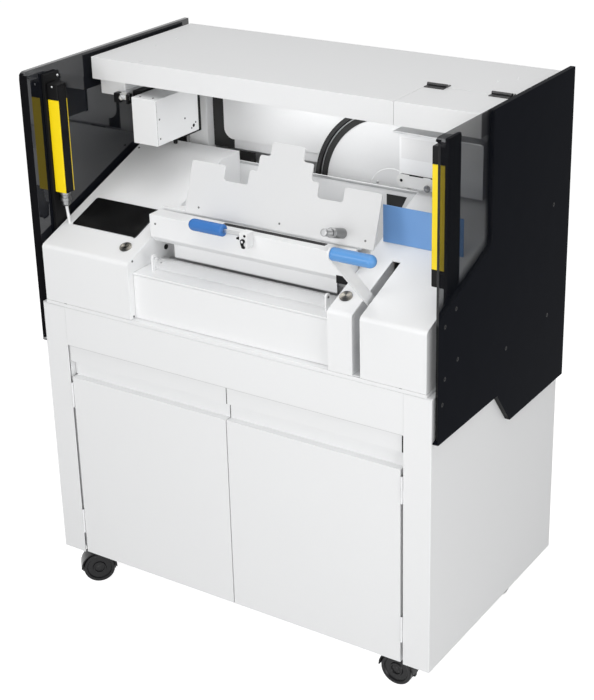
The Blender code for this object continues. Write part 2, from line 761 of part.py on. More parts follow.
def build_guard(m, pin_depth, pin_up):
    """The clear strip in front of the roller, on two pins in the table's ears."""
    left = BAY[0] + EAR_INSET + RUNNING
    right = BAY[1] - EAR_INSET - RUNNING
    pin = Vector((0.0, depth(pin_depth), up(pin_up)))
    outline = [(pin.y - GUARD_THICKNESS / 2, pin.z + GUARD_PIN_R + GAP)]
    outline += [(pin.y - GUARD_THICKNESS / 2, pin.z + GUARD_PIN_R + GAP - GUARD_HEIGHT)]
    outline += [(pin.y + GUARD_THICKNESS / 2, pin.z + GUARD_PIN_R + GAP - GUARD_HEIGHT)]
    outline += [(pin.y + GUARD_THICKNESS / 2, pin.z + GUARD_PIN_R + GAP)]
    guard = slab("clear_guard", m["clear"], "X", outline, left, right)
    join(guard, turned("guard_pin", m["clear"], "X",
                       Vector((left - EAR_THICKNESS, pin.y, pin.z)),
                       rod_profile(right - left + 2 * EAR_THICKNESS, GUARD_PIN_R), 12))
    place_origin(guard, pin)


def plate_point(along, out):
    """World (y, z) of a point up the guide plate, and out in front of its face."""
    y = depth(PLATE_DEPTH) + along * math.sin(PLATE_LEAN) - out * math.cos(PLATE_LEAN)
    z = up(PLATE_UP) + along * math.cos(PLATE_LEAN) + out * math.sin(PLATE_LEAN)
    return y, z


def build_bay_rear(m, left, right):
    """The bay's back wall, folded forward and up into the guide plate's flange."""
    behind = -PLATE_THICKNESS - GAP
    fold = up(PLATE_UP - 3 * SHEET)
    wall = depth(BAY_REAR_DEPTH)
    front_low = plate_point(SHEET, behind)
    outline = [
        (wall, up(GAP)), (wall, fold), (front_low[0], fold), front_low,
        plate_point(FLANGE_HEIGHT, behind), plate_point(FLANGE_HEIGHT, behind - SHEET),
        (front_low[0] + SHEET, front_low[1]), (front_low[0] + SHEET, fold + SHEET),
        (wall + SHEET, fold + SHEET), (wall + SHEET, up(GAP)),
    ]
    slab("bay_rear", m["white"], "X", outline, left, right)


def build_feed(m):
    """Driven roller, the serrated cutting strip behind it, and its motor."""
    span = BAY[1] - BAY[0] + 2 * SHEET
    start = Vector((BAY[0] - SHEET, depth(ROLLER_DEPTH), up(ROLLER_UP)))
    shoulder = ROLLER_END_CLEARANCE
    profile = [
        (span, 0.0), (span, ROLLER_AXLE_R), (span - shoulder, ROLLER_AXLE_R),
        (span - shoulder, ROLLER_R), (shoulder, ROLLER_R), (shoulder, ROLLER_AXLE_R),
        (0.0, ROLLER_AXLE_R), (0.0, 0.0),
    ]
    turned("feed_roller", m["rubber"], "X", start, profile, 24)
    blade_left, blade_right = BAY[0] + shoulder, BAY[1] - shoulder
    teeth = round((blade_right - blade_left) / BLADE_TOOTH)
    pitch = (blade_right - blade_left) / teeth
    root_z = up(BLADE_UP + BLADE_HEIGHT - BLADE_TOOTH / 3)
    outline = [(blade_right, root_z), (blade_right, up(BLADE_UP)), (blade_left, up(BLADE_UP))]
    for tooth in range(teeth):
        outline.append((blade_left + tooth * pitch, root_z))
        outline.append((blade_left + (tooth + 0.5) * pitch, up(BLADE_UP + BLADE_HEIGHT)))
    rear = depth(BAY_REAR_DEPTH) - GAP
    slab("cutting_strip", m["steel"], "Y", outline, rear - SHEET, rear)
    motor_left = BAY[1] + SHEET + GAP
    half = MOTOR_SIZE / 2
    box("feed_motor", m["black"], (motor_left, motor_left + MOTOR_LENGTH),
        (depth(ROLLER_DEPTH) - half, depth(ROLLER_DEPTH) + half),
        (up(ROLLER_UP) - half, up(ROLLER_UP) + half), 0.002)


# ---------------------------------------------------------------- clamp bar

def build_clamp(m):
    left, right = BAY[0] + RUNNING, BAY[1] - RUNNING
    pivot = Vector((0.0, depth(BAR_PIVOT_DEPTH), up(BAR_PIVOT_UP)))
    outline = [
        (depth(BAR_FRONT_DEPTH), up(BAR_FRONT_EDGE_UP)), (depth(BAR_TOE_DEPTH), up(BAR_BOTTOM_UP)),
        (depth(BAR_REAR_DEPTH), up(BAR_BOTTOM_UP)), (depth(BAR_REAR_DEPTH), up(BAR_TOP_UP)),
        (depth(BAR_FRONT_DEPTH), up(BAR_TOP_UP)),
    ]
    bar = slab("clamp_bar", m["white"], "X", outline, left, right)
    join(bar, turned("bar_pins", m["steel"], "X", Vector((BAY[0] - SHEET, pivot.y, pivot.z)),
                     rod_profile(BAY[1] - BAY[0] + 2 * SHEET, BAR_PIN_R), 20))
    grip_x = BAY[0] + HANDLE_START
    grip_y, grip_z = depth(HANDLE_DEPTH), up(HANDLE_UP)
    left_grip = turned("grip_left", m["blue"], "X", Vector((grip_x + GRIP_LENGTH, grip_y, grip_z)),
                       grip_profile(), 24,
                       Matrix.Rotation(math.radians(-90), 4, "Y"))
    bracket, latch = build_handle(m, grip_x + GRIP_LENGTH, grip_y, grip_z)
    hang_on_axis("clamp_axis", pivot, (bar, left_grip, bracket, latch))


def build_handle(m, open_end, y, z):
    """Bracket on the bar's face with the rod that holds the left grip, and its latch."""
    bracket_x = open_end + HANDLE_REACH
    half = BRACKET_HEIGHT / 2
    top = min(z + half / 2, up(BAR_TOP_UP))
    bracket = box("clamp_handle", m["steel"], (bracket_x, bracket_x + BRACKET_WIDTH),
                  (y - GRIP_ROD_R - SHEET, depth(BAR_FRONT_DEPTH) - GAP), (top - BRACKET_HEIGHT, top + half))
    rod_length = HANDLE_REACH + GRIP_LENGTH - 2 * GRIP_R + BRACKET_WIDTH / 2
    join(bracket, turned("handle_rod", m["steel"], "X",
                         Vector((bracket_x + BRACKET_WIDTH / 2 - rod_length, y, z)),
                         rod_profile(rod_length, GRIP_ROD_R), 16))
    face = y - GRIP_ROD_R - SHEET - GAP
    middle = Vector((bracket_x + BRACKET_WIDTH / 2, face, top - LATCH_R))
    outline = arc((middle.x, middle.z), LATCH_R, 0, 180, 8)
    outline += arc((middle.x, middle.z - LATCH_LENGTH), LATCH_R / 2, 180, 360, 6)
    latch = slab("clamp_latch", m["black"], "Y", outline, face - LATCH_THICKNESS, face)
    place_origin(latch, middle)
    return bracket, latch


# ---------------------------------------------------------------- guide plate

def build_guide_plate(m):
    left, right = BAY[0] + PLATE_LEFT_MARGIN, BAY[1] + PLATE_RIGHT_OVERHANG
    middle = (left + right) / 2
    half_notch = NOTCH_WIDTH / 2
    right_half = [
        (right - middle, 0.0), (right - middle, PLATE_HEIGHT),
        (NOTCH_CENTRE + half_notch, PLATE_HEIGHT),
        (NOTCH_CENTRE + half_notch, PLATE_HEIGHT - NOTCH_DEPTH),
        (NOTCH_CENTRE - half_notch, PLATE_HEIGHT - NOTCH_DEPTH),
        (NOTCH_CENTRE - half_notch, PLATE_HEIGHT), (TONGUE_HALF, PLATE_HEIGHT),
        (TONGUE_HALF, PLATE_HEIGHT + TONGUE_STEP_HEIGHT),
        (TONGUE_TOP_HALF, PLATE_HEIGHT + TONGUE_STEP_HEIGHT),
        (TONGUE_TOP_HALF, PLATE_HEIGHT + TONGUE_HEIGHT),
    ]
    outline = right_half + [(-x, z) for x, z in reversed(right_half)]
    plate = slab("guide_plate", m["white"], "Y", outline, 0.0, PLATE_THICKNESS)
    foot = Vector((middle, *plate_point(0.0, 0.0)))
    lean = Matrix.Translation(foot) @ Matrix.Rotation(-PLATE_LEAN, 4, "X")
    plate.matrix_world = lean @ plate.matrix_world
    start = Vector((middle + PLUNGER_OFFSET, *plate_point(PLUNGER_UP, GAP)))
    edge = 0.001
    bore = PLUNGER_STEM_R + GAP
    body = [
        (PLUNGER_BODY, bore), (PLUNGER_BODY, PLUNGER_R - edge), (PLUNGER_BODY - edge, PLUNGER_R),
        (0.0, PLUNGER_R), (0.0, bore), (PLUNGER_BODY, bore),
    ]
    tip = PLUNGER_BODY + PLUNGER_TIP
    knob = [
        (tip, 0.0), (tip, PLUNGER_TIP_R - edge), (tip - edge, PLUNGER_TIP_R),
        (PLUNGER_BODY + GAP, PLUNGER_TIP_R), (PLUNGER_BODY + GAP, PLUNGER_STEM_R),
        (SHEET, PLUNGER_STEM_R), (SHEET, 0.0),
    ]
    out = Matrix.Rotation(math.radians(90) - PLATE_LEAN, 4, "X")
    turned("plunger_body", m["steel"], "", start, body, 24, out)
    turned("plunger_knob", m["steel"], "", start, knob, 24, out)


# ---------------------------------------------------------------- slopes

def slope_frame(x, distance, lift):
    """A place on the cowls' slope, lifted off it, with its own Z square to the slope."""
    point = Vector((x, depth(distance), up(slope_up(distance))))
    normal = Vector((0.0, -math.sin(SLOPE), math.cos(SLOPE)))
    return Matrix.Translation(point + normal * lift) @ Matrix.Rotation(SLOPE, 4, "X")


def build_controls(m):
    screen_x = LEFT_COWL[0] + SCREEN_INSET + SCREEN_WIDTH / 2
    screen = box("touch_screen", m["gloss_black"], (-SCREEN_WIDTH / 2, SCREEN_WIDTH / 2),
                 (-SCREEN_LENGTH / 2, SCREEN_LENGTH / 2), (0.0, SCREEN_THICKNESS), 0.001)
    screen.matrix_world = slope_frame(screen_x, SCREEN_DEPTH, GAP)
    ring = [
        (BEZEL_HEIGHT, BUTTON_R + GAP), (BEZEL_HEIGHT, BEZEL_R - 0.001),
        (BEZEL_HEIGHT - 0.001, BEZEL_R), (0.0, BEZEL_R), (0.0, BUTTON_R + GAP),
        (BEZEL_HEIGHT, BUTTON_R + GAP),
    ]
    for x, name in ((LEFT_COWL[1] - BUTTON_INSETS[0], "left"),
                    (RIGHT_COWL[0] + BUTTON_INSETS[1], "right")):
        turned("button_bezel_" + name, m["steel"], "", Vector(), ring, 28,
               slope_frame(x, BUTTON_DEPTH, GAP))
        turned("start_button_" + name, m["steel"], "", Vector(),
               rod_profile(BUTTON_THICKNESS, BUTTON_R, 0.0005), 28,
               slope_frame(x, BUTTON_DEPTH, BUTTON_TRAVEL + 2 * GAP))
    flap_left = RIGHT_COWL[0] + FLAP_FROM_COWL
    low = up(slope_up(FLAP_DEPTH + SHEET)) + GAP
    flap = box("blue_flap", m["blue"], (flap_left, flap_left + FLAP_WIDTH),
               (depth(FLAP_DEPTH), depth(FLAP_DEPTH + SHEET)), (low, low + FLAP_HEIGHT))
    place_origin(flap, Vector((flap_left, depth(FLAP_DEPTH + SHEET / 2), low)))


# ---------------------------------------------------------------- cover and hatch

def tray(name, m, x, y, z):
    """A sheet tray with its open side down."""
    outer = box(name, m["white"], x, y, z)
    inner = box(name + "_hollow", m["white"], (x[0] + SHEET, x[1] - SHEET),
                (y[0] + SHEET, y[1] - SHEET), (z[0] - SHEET, z[1] - SHEET))
    cut(outer, inner)
    return outer


def build_cover(m):
    low = COVER_TOP - COVER_FASCIA
    front, back = depth(COVER_FRONT_DEPTH), depth(BACK_DEPTH - COVER_BACK_MARGIN)
    seam_x = COVER[1] - HATCH_WIDTH
    seam_y = front + HATCH_DEPTH
    cover = tray("top_cover", m, COVER, (front, back), (low, COVER_TOP))
    cut(cover, box("hatch_opening", m["white"], (seam_x - HATCH_SEAM, HALF),
                   (front - SHEET, seam_y + HATCH_SEAM), (low - 2 * SHEET, COVER_TOP + SHEET)))
    lid = box("hatch_lid", m["white"], (seam_x, COVER[1]), (front, seam_y), (low, COVER_TOP))
    cut(lid, box("hatch_hollow", m["white"], (seam_x - SHEET, COVER[1] - SHEET),
                 (front + SHEET, seam_y + SHEET), (low - SHEET, COVER_UNDERSIDE)))
    build_hatch_hinges(m, cover, lid, seam_x, seam_y)


def build_hatch_hinges(m, cover, lid, seam_x, seam_y):
    """Two leaf hinges on top: fixed leaf and knuckle on the cover, moving leaf on the lid."""
    sunk = COVER_TOP - SHEET / 2
    leaf_top = COVER_TOP + LEAF_THICKNESS
    axis_y = seam_y + HATCH_SEAM / 2
    axis_z = COVER_TOP + KNUCKLE_R + GAP
    clear = KNUCKLE_R + GAP
    for index, inset in enumerate(LEAF_INSETS):
        across = (seam_x + inset - LEAF_WIDTH / 2, seam_x + inset + LEAF_WIDTH / 2)
        join(cover, box("fixed_leaf_%d" % index, m["black"], across,
                        (axis_y + HATCH_SEAM, axis_y + LEAF_LENGTH), (sunk, leaf_top)))
        join(cover, turned("knuckle_%d" % index, m["black"], "X", Vector((across[0], axis_y, axis_z)),
                           rod_profile(LEAF_WIDTH, KNUCKLE_R), 14))
        join(lid, box("moving_leaf_%d" % index, m["black"], across,
                      (axis_y - LEAF_LENGTH, axis_y - clear), (sunk, leaf_top)))
    place_origin(lid, Vector((seam_x, axis_y, axis_z)))


# ---------------------------------------------------------------- head and rail

def build_head(m):
    """Head box on a carriage, on a rail along the side of its bracket under the cover."""
    bracket_left = COVER[0] + RAIL_BRACKET_INSET
    bracket_right = bracket_left + RAIL_BRACKET_WIDTH
    bracket_low = COVER_TOP - RAIL_BRACKET_DROP
    back = depth(BACK_DEPTH - INNER_PANEL_FROM_BACK) - COLUMN_DEPTH - GAP
    box("rail_bracket", m["white"], (bracket_left, bracket_right),
        (depth(COVER_FRONT_DEPTH + RAIL_BRACKET_INSET), back), (bracket_low, COVER_UNDERSIDE - GAP))
    rail_low = bracket_low + GAP
    rail_left = bracket_right + GAP
    box("head_rail", m["steel"], (rail_left, rail_left + RAIL_WIDTH),
        (depth(RAIL_START_DEPTH), depth(RAIL_START_DEPTH + RAIL_LENGTH)), (rail_low, rail_low + RAIL_HEIGHT))
    carriage_left = rail_left + RAIL_WIDTH + GAP
    head_left = carriage_left + CARRIAGE_WIDTH + GAP
    head_top = COVER_TOP - HEAD_DROP
    head_low = up(slope_up(HEAD_FRONT_DEPTH + HEAD_LENGTH) + HEAD_OVER_COWL)
    front = depth(HEAD_FRONT_DEPTH)
    case = box("print_head", m["white"], (head_left, head_left + HEAD_WIDTH),
               (front, front + HEAD_LENGTH), (head_low, head_top))
    carriage = box("head_carriage", m["black"], (carriage_left, carriage_left + CARRIAGE_WIDTH),
                   (front + CARRIAGE_INSET, front + CARRIAGE_INSET + CARRIAGE_LENGTH),
                   (rail_low - RAIL_HEIGHT / 2, rail_low + RAIL_HEIGHT))
    foot = turned("foot", m["black"], "Z",
                  Vector((head_left + HEAD_WIDTH - 2 * FOOT_R, front + HEAD_LENGTH / 2,
                          head_low - FOOT_LENGTH)),
                  rod_profile(FOOT_LENGTH + SHEET, FOOT_R, 0.001), 16)
    join(case, foot)
    for piece in (case, carriage):
        place_origin(piece, Vector((rail_left, front, rail_low)))


# ---------------------------------------------------------------- back of the machine

def build_back(m):
    edge = HALF - BASE_STEP
    beam_front = depth(BACK_DEPTH - BEAM_FROM_BACK)
    box("rear_beam", m["white"], (-edge, edge), (beam_front, beam_front + BEAM_THICKNESS),
        (up(GAP), up(BEAM_HEIGHT)))
    wall_back = depth(BACK_DEPTH - COVER_BACK_MARGIN) - SHEET - GAP
    box("rear_wall", m["white"], (COVER[0] + SHEET + GAP, COVER[1] - SHEET - GAP),
        (wall_back - SHEET, wall_back), (up(GAP), COVER_UNDERSIDE - GAP))
    panel_front = depth(BACK_DEPTH - INNER_PANEL_FROM_BACK)
    build_rear_frame(m, panel_front)
    build_reel(m, panel_front)


def build_rear_frame(m, front):
    """Inner back panel welded between two columns, with room for a seal down its left edge."""
    back = front + INNER_PANEL_THICKNESS
    left, right = -HALF + INNER_PANEL_LEFT, HALF - INNER_PANEL_RIGHT
    low, high = up(INNER_PANEL_BOTTOM_UP), COVER_UNDERSIDE - GAP
    column_right = left - SEAL_WIDTH
    frame = box("rear_frame", m["white"], (column_right - COLUMN_WIDTH / 2, right + COLUMN_WIDTH / 4),
                (front, back), (low, high))
    columns = ((column_right - COLUMN_WIDTH, column_right), (right, HALF - BASE_STEP - COWL_SIDE_GAP))
    for index, across in enumerate(columns):
        join(frame, box("column_%d" % index, m["white"], across,
                        (front - COLUMN_DEPTH, back + SHEET), (up(GAP), high)))


def build_reel(m, panel_front):
    """Supply reel: dark rim on a white disc, whose hub turns against the inner panel."""
    front = depth(BACK_DEPTH - REEL_FRONT_FROM_BACK)
    z = up(REEL_UP)
    inner = REEL_R - REEL_RIM
    rim = [
        (REEL_WIDTH, inner), (REEL_WIDTH, REEL_R), (0.0, REEL_R), (0.0, inner), (REEL_WIDTH, inner),
    ]
    turned("reel_rim", m["rubber"], "Y", Vector((REEL_X, front, z)), rim, 56)
    face = front + REEL_FACE_SETBACK
    hub = panel_front - GAP - face
    disc = [
        (hub, 0.0), (hub, REEL_HUB_R), (REEL_DISC, REEL_HUB_R), (REEL_DISC, inner - GAP),
        (0.0, inner - GAP), (0.0, 0.0),
    ]
    turned("reel_disc", m["white"], "Y", Vector((REEL_X, face, z)), disc, 56)


# ---------------------------------------------------------------- label module

def build_module(m):
    right = HALF - MODULE_FROM_RIGHT
    left = right - MODULE_WIDTH
    back = depth(BACK_DEPTH - MODULE_FROM_BACK)
    front = back - MODULE_DEPTH
    low = up(slope_up(SLOPE_DEPTH) + MODULE_OVER_COWL)
    high = low + MODULE_HEIGHT
    module = box("label_module", m["white"], (left, right), (front, back), (low, high))
    join(module, box("module_plate", m["steel"], (left - MODULE_TOP_OVERHANG, right + GAP),
                     (front - MODULE_TOP_OVERHANG, back + GAP), (high - GAP, high + MODULE_TOP_PLATE)))
    join(module, box("module_hanger", m["white"], (right - HANGER_WIDTH, right),
                     (front + MODULE_DEPTH / 4, back), (high, COVER_UNDERSIDE - GAP)))
    pivot = Vector((left + LATCH_PIVOT_INSET, front - GAP, low + LATCH_PLATE_HEIGHT / 2))
    half = LATCH_PLATE_HEIGHT / 2
    outline = arc((pivot.x, pivot.z), half, 90, 270, 8)
    outline += [(left + LATCH_PLATE_WIDTH, low), (left + LATCH_PLATE_WIDTH, low + LATCH_PLATE_HEIGHT)]
    latch = slab("module_latch", m["steel"], "Y", outline, pivot.y - LATCH_PLATE_THICKNESS, pivot.y)
    knob_x = left + LATCH_PLATE_WIDTH - 1.5 * THUMB_R
    join(latch, turned("thumb_screw", m["steel"], "Y",
                       Vector((knob_x, pivot.y - LATCH_PLATE_THICKNESS - THUMB_LENGTH, pivot.z)),
                       rod_profile(THUMB_LENGTH + LATCH_PLATE_THICKNESS / 2, THUMB_R, 0.001), 20))
    place_origin(latch, pivot)


# ---------------------------------------------------------------- shields and curtains

def shield_outline():
    top = COVER_TOP + SHIELD_ABOVE_COVER
    front_low, back_low = rise(SHIELD_FRONT_BOTTOM), rise(SHIELD_BACK_BOTTOM)
    corner = SHIELD_CORNER_R
    foot = corner / 2
    outline = arc((depth(corner), top - corner), corner, 180, 90, 5)
    outline += [
        (depth(SHIELD_DEPTH), top), (depth(SHIELD_DEPTH), back_low),
        (depth(SHIELD_STEP_DEPTHS[1]), back_low), (depth(SHIELD_STEP_DEPTHS[0]), front_low),
    ]
    outline += arc((depth(foot), front_low + foot), foot, 270, 180, 3)
    return outline


def build_sides(m):
    for side, name in ((-1, "left"), (1, "right")):
        low, high = sorted((side * (HALF + GAP), side * (HALF + GAP + SHIELD_THICKNESS)))
        slab("shield_" + name, m["smoked"], "X", shield_outline(), low, high)
        build_curtain(m, name, side)


def build_curtain(m, name, side):
    """Light curtain: a yellow bar with black end caps, on a strap against the shield."""
    strap_inner = HALF - GAP - STRAP_THICKNESS
    bar = sorted((side * (strap_inner + GAP), side * (strap_inner - CURTAIN_WIDTH)))
    low, high = up(CURTAIN_UP - CURTAIN_CAP), up(CURTAIN_UP + CURTAIN_HEIGHT + CURTAIN_CAP)
    front, back = depth(CURTAIN_FRONT_DEPTH), depth(CURTAIN_FRONT_DEPTH + CURTAIN_THICKNESS)
    curtain = box("light_curtain_" + name, m["yellow"], bar, (front, back), (low, high))
    strap = sorted((side * strap_inner, side * (HALF - GAP)))
    join(curtain, box("strap_" + name, m["black"], strap,
                      (depth(STRAP_FRONT_DEPTH), depth(STRAP_FRONT_DEPTH + STRAP_WIDTH)),
                      (up(STRAP_UP), up(STRAP_UP + STRAP_HEIGHT))))


# ---------------------------------------------------------------- services

def build_services(m):
    width, length, height = CONTROL_BOX
    back = depth(BACK_DEPTH - SHEET) - GAP
    box("control_box", m["black"], (-width / 2, width / 2), (back - length, back),
        (rise(SHEET + GAP), rise(SHEET + GAP + height)), 0.003)
    width, length, height = INLET_SIZE
    x = HALF - INLET_FROM_RIGHT
    box("mains_inlet", m["black"], (x, x + width), (depth(BACK_DEPTH) + GAP, depth(BACK_DEPTH) + GAP + length),
        (rise(INLET_HEIGHT), rise(INLET_HEIGHT + height)))


def build_materials():
    return {
        "white": new_material("white_paint", (0.85, 0.85, 0.86), 0.45),
        "steel": new_material("stainless_steel", (0.55, 0.55, 0.56), 0.3, 1.0),
        "black": new_material("black_plastic", (0.02, 0.02, 0.022), 0.5),
        "rubber": new_material("black_rubber", (0.018, 0.018, 0.018), 0.75),
        "gloss_black": new_material("screen_glass", (0.006, 0.006, 0.008), 0.08),
        "blue": new_material("blue_plastic", (0.06, 0.22, 0.62), 0.4),
        "yellow": new_material("yellow_paint", (1.0, 0.7, 0.0), 0.4),
        "smoked": new_material("smoked_acrylic", (0.006, 0.007, 0.01), 0.08),
        "clear": new_material("clear_acrylic", (0.8, 0.85, 0.85), 0.1, 0.0, 0.35),
    }


for old in list(bpy.data.objects):
    bpy.data.objects.remove(old)
PARTS = bpy.data.collections.new("printer_cutter")
CUTTERS = bpy.data.collections.new("cutters")
bpy.context.scene.collection.children.link(PARTS)
bpy.context.scene.collection.children.link(CUTTERS)

palette = build_materials()
sides = build_cabinet(palette)
build_doors(palette, sides)
build_casters(palette)
build_cowls(palette)
build_slot_channel(palette)
build_lever(palette)
build_bay(palette)
build_clamp(palette)
build_guide_plate(palette)
build_controls(palette)
build_cover(palette)
build_head(palette)
build_back(palette)
build_module(palette)
build_sides(palette)
build_services(palette)
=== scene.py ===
"""Printer cutter: a print-and-cut machine on a two-door cabinet, built from the ground up."""
import json
import math

import bmesh
import bpy
from mathutils import Matrix, Vector


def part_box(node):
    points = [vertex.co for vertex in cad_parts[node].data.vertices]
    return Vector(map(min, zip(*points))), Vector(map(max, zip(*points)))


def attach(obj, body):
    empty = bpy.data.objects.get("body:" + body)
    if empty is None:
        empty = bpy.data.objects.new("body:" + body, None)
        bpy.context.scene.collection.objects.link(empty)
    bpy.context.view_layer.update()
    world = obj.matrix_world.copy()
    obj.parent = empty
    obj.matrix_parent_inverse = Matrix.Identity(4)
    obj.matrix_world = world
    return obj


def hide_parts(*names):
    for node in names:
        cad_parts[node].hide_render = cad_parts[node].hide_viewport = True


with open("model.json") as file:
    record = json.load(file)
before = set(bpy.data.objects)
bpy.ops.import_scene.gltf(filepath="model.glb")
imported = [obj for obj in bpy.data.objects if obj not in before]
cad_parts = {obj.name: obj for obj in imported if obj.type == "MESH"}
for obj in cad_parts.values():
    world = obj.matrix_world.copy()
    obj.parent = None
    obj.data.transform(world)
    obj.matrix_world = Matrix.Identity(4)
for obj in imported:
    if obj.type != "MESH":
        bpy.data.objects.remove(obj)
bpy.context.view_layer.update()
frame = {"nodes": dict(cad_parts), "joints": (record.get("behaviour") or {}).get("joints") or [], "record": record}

# ---- Camera: above and to the right of the machine, looking down at its front.
# A long lens, turned a little on its own axis.
camera_at = Vector((1.8176, -2.68585, 2.1088))
yaw, pitch, roll = math.radians(33.711), math.radians(22.666), math.radians(-1.506)
ahead = Vector((-math.sin(yaw) * math.cos(pitch), math.cos(yaw) * math.cos(pitch),
                -math.sin(pitch)))
level = Vector((math.cos(yaw), math.sin(yaw), 0.0))
above = level.cross(ahead)
across = level * math.cos(roll) + above * math.sin(roll)
upright = above * math.cos(roll) - level * math.sin(roll)
lens = bpy.data.cameras.new("camera")
lens.sensor_width = 36.0
lens.lens = 81.398571
lens.shift_y = -1 / 14
camera = bpy.data.objects.new("camera", lens)
turned_to = Matrix((across, upright, -ahead)).transposed().to_4x4()
camera.matrix_world = Matrix.Translation(camera_at) @ turned_to
bpy.context.scene.collection.objects.link(camera)
bpy.context.scene.camera = camera


# ---- Floor and light: a white studio sweep with large soft lamps to the front, and a
# weaker one overhead, so that the upright faces are a little brighter than the level ones.
class Reading:
    """A value inside a finish; arithmetic on it adds Math nodes."""

    def __init__(self, finish, socket):
        self.finish = finish
        self.socket = socket

    def maths(self, operation, first, second):
        return self.finish.node("ShaderNodeMath", {"operation": operation}, {0: first, 1: second})

    def __add__(self, other):
        return self.maths("ADD", self, other)

    def __sub__(self, other):
        return self.maths("SUBTRACT", self, other)

    def __rsub__(self, other):
        return self.maths("SUBTRACT", other, self)

    def __mul__(self, other):
        return self.maths("MULTIPLY", self, other)

    __radd__ = __add__
    __rmul__ = __mul__


class Finish:
    """One material, made from nodes round its Principled shader."""

    def __init__(self, name, **constants):
        self.material = bpy.data.materials.new(name)
        self.material.use_nodes = True
        self.tree = self.material.node_tree
        self.shader = self.tree.nodes["Principled BSDF"]
        self.set(**constants)

    def node(self, kind, settings, inputs, output=0):
        made = self.tree.nodes.new(kind)
        for name, value in settings.items():
            setattr(made, name, value)
        for name, value in inputs.items():
            self.feed(made.inputs[name], value)
        return Reading(self, made.outputs[output])

    def feed(self, socket, value):
        if isinstance(value, Reading):
            self.tree.links.new(value.socket, socket)
        else:
            socket.default_value = value

    def set(self, **values):
        """Feeds the shader's sockets by their names, such as base_color."""
        for name, value in values.items():
            title = name.replace("_", " ").title().replace("Ior", "IOR")
            self.feed(self.shader.inputs[title], value)

    def noise(self, scale, detail=2.0, stretch=(1.0, 1.0, 1.0)):
        place = self.node("ShaderNodeTexCoord", {}, {}, "Object")
        place = self.node("ShaderNodeMapping", {}, {"Vector": place, "Scale": stretch})
        return self.node("ShaderNodeTexNoise", {},
                         {"Vector": place, "Scale": scale, "Detail": detail})

    def between(self, factor, first, second):
        return self.node("ShaderNodeMix", {"data_type": "RGBA"},
                         {0: factor, 6: first, 7: second}, 2)

    def band(self, value, low, high):
        """0 where value is under low, 1 where it is over high."""
        return self.node("ShaderNodeMapRange", {}, {0: value, 1: low, 2: high})

    def bumped(self, height, distance, strength=1.0):
        return self.node("ShaderNodeBump", {}, {"Height": height, "Distance": distance,
                                               "Strength": strength})


def grey(shade, tint=0.0):
    return (shade * (1 - tint), shade, shade * (1 + tint), 1.0)


scene = bpy.context.scene
scene.view_settings.view_transform = "Standard"
sweep = Finish("studio_floor", roughness=0.9, specular_ior_level=0.0)
mottle = sweep.noise(1.5)
sweep.set(base_color=sweep.between(mottle, grey(0.54), grey(0.56)))
path = sweep.node("ShaderNodeLightPath", {}, {}, "Is Camera Ray")
mirrored = sweep.node("ShaderNodeLightPath", {}, {}, "Is Glossy Ray")
through = sweep.node("ShaderNodeLightPath", {}, {}, "Is Transmission Ray")
glow = sweep.node("ShaderNodeEmission", {}, {"Color": grey(1.0), "Strength": 0.90})
bare = sweep.node("ShaderNodeEmission", {}, {"Color": grey(0.0), "Strength": 0.0})
seen = sweep.node("ShaderNodeMixShader", {}, {0: path + mirrored + through, 1: bare, 2: glow})
lit = sweep.node("ShaderNodeAddShader", {}, {0: Reading(sweep, sweep.shader.outputs[0]), 1: seen})
sweep.feed(sweep.tree.nodes["Material Output"].inputs["Surface"], lit)
floor_shape = bmesh.new()
bmesh.ops.create_grid(floor_shape, x_segments=8, y_segments=8, size=12.0)
floor_mesh = bpy.data.meshes.new("studio_floor")
floor_shape.to_mesh(floor_mesh)
floor_shape.free()
floor_mesh.materials.append(sweep.material)
studio_floor = bpy.data.objects.new("studio_floor", floor_mesh)
scene.collection.objects.link(studio_floor)

sky = bpy.data.worlds.new("studio")
scene.world = sky
sky.use_nodes = True
sky_nodes = sky.node_tree.nodes
sky_links = sky.node_tree.links
rays = sky_nodes.new("ShaderNodeLightPath")
white = sky_nodes.new("ShaderNodeBackground")
white.inputs["Strength"].default_value = 1.0
white.inputs["Color"].default_value = grey(1.0)
dim = sky_nodes["Background"]
dim.inputs["Color"].default_value = grey(1.0)
dim.inputs["Strength"].default_value = 0.20
seen_white = rays.outputs["Is Camera Ray"]
for kind in ("Is Glossy Ray", "Is Transmission Ray"):
    either = sky_nodes.new("ShaderNodeMath")
    either.operation = "ADD"
    sky_links.new(seen_white, either.inputs[0])
    sky_links.new(rays.outputs[kind], either.inputs[1])
    seen_white = either.outputs[0]
pick = sky_nodes.new("ShaderNodeMixShader")
sky_links.new(seen_white, pick.inputs[0])
sky_links.new(dim.outputs[0], pick.inputs[1])
sky_links.new(white.outputs[0], pick.inputs[2])
sky_links.new(pick.outputs[0], sky_nodes["World Output"].inputs["Surface"])

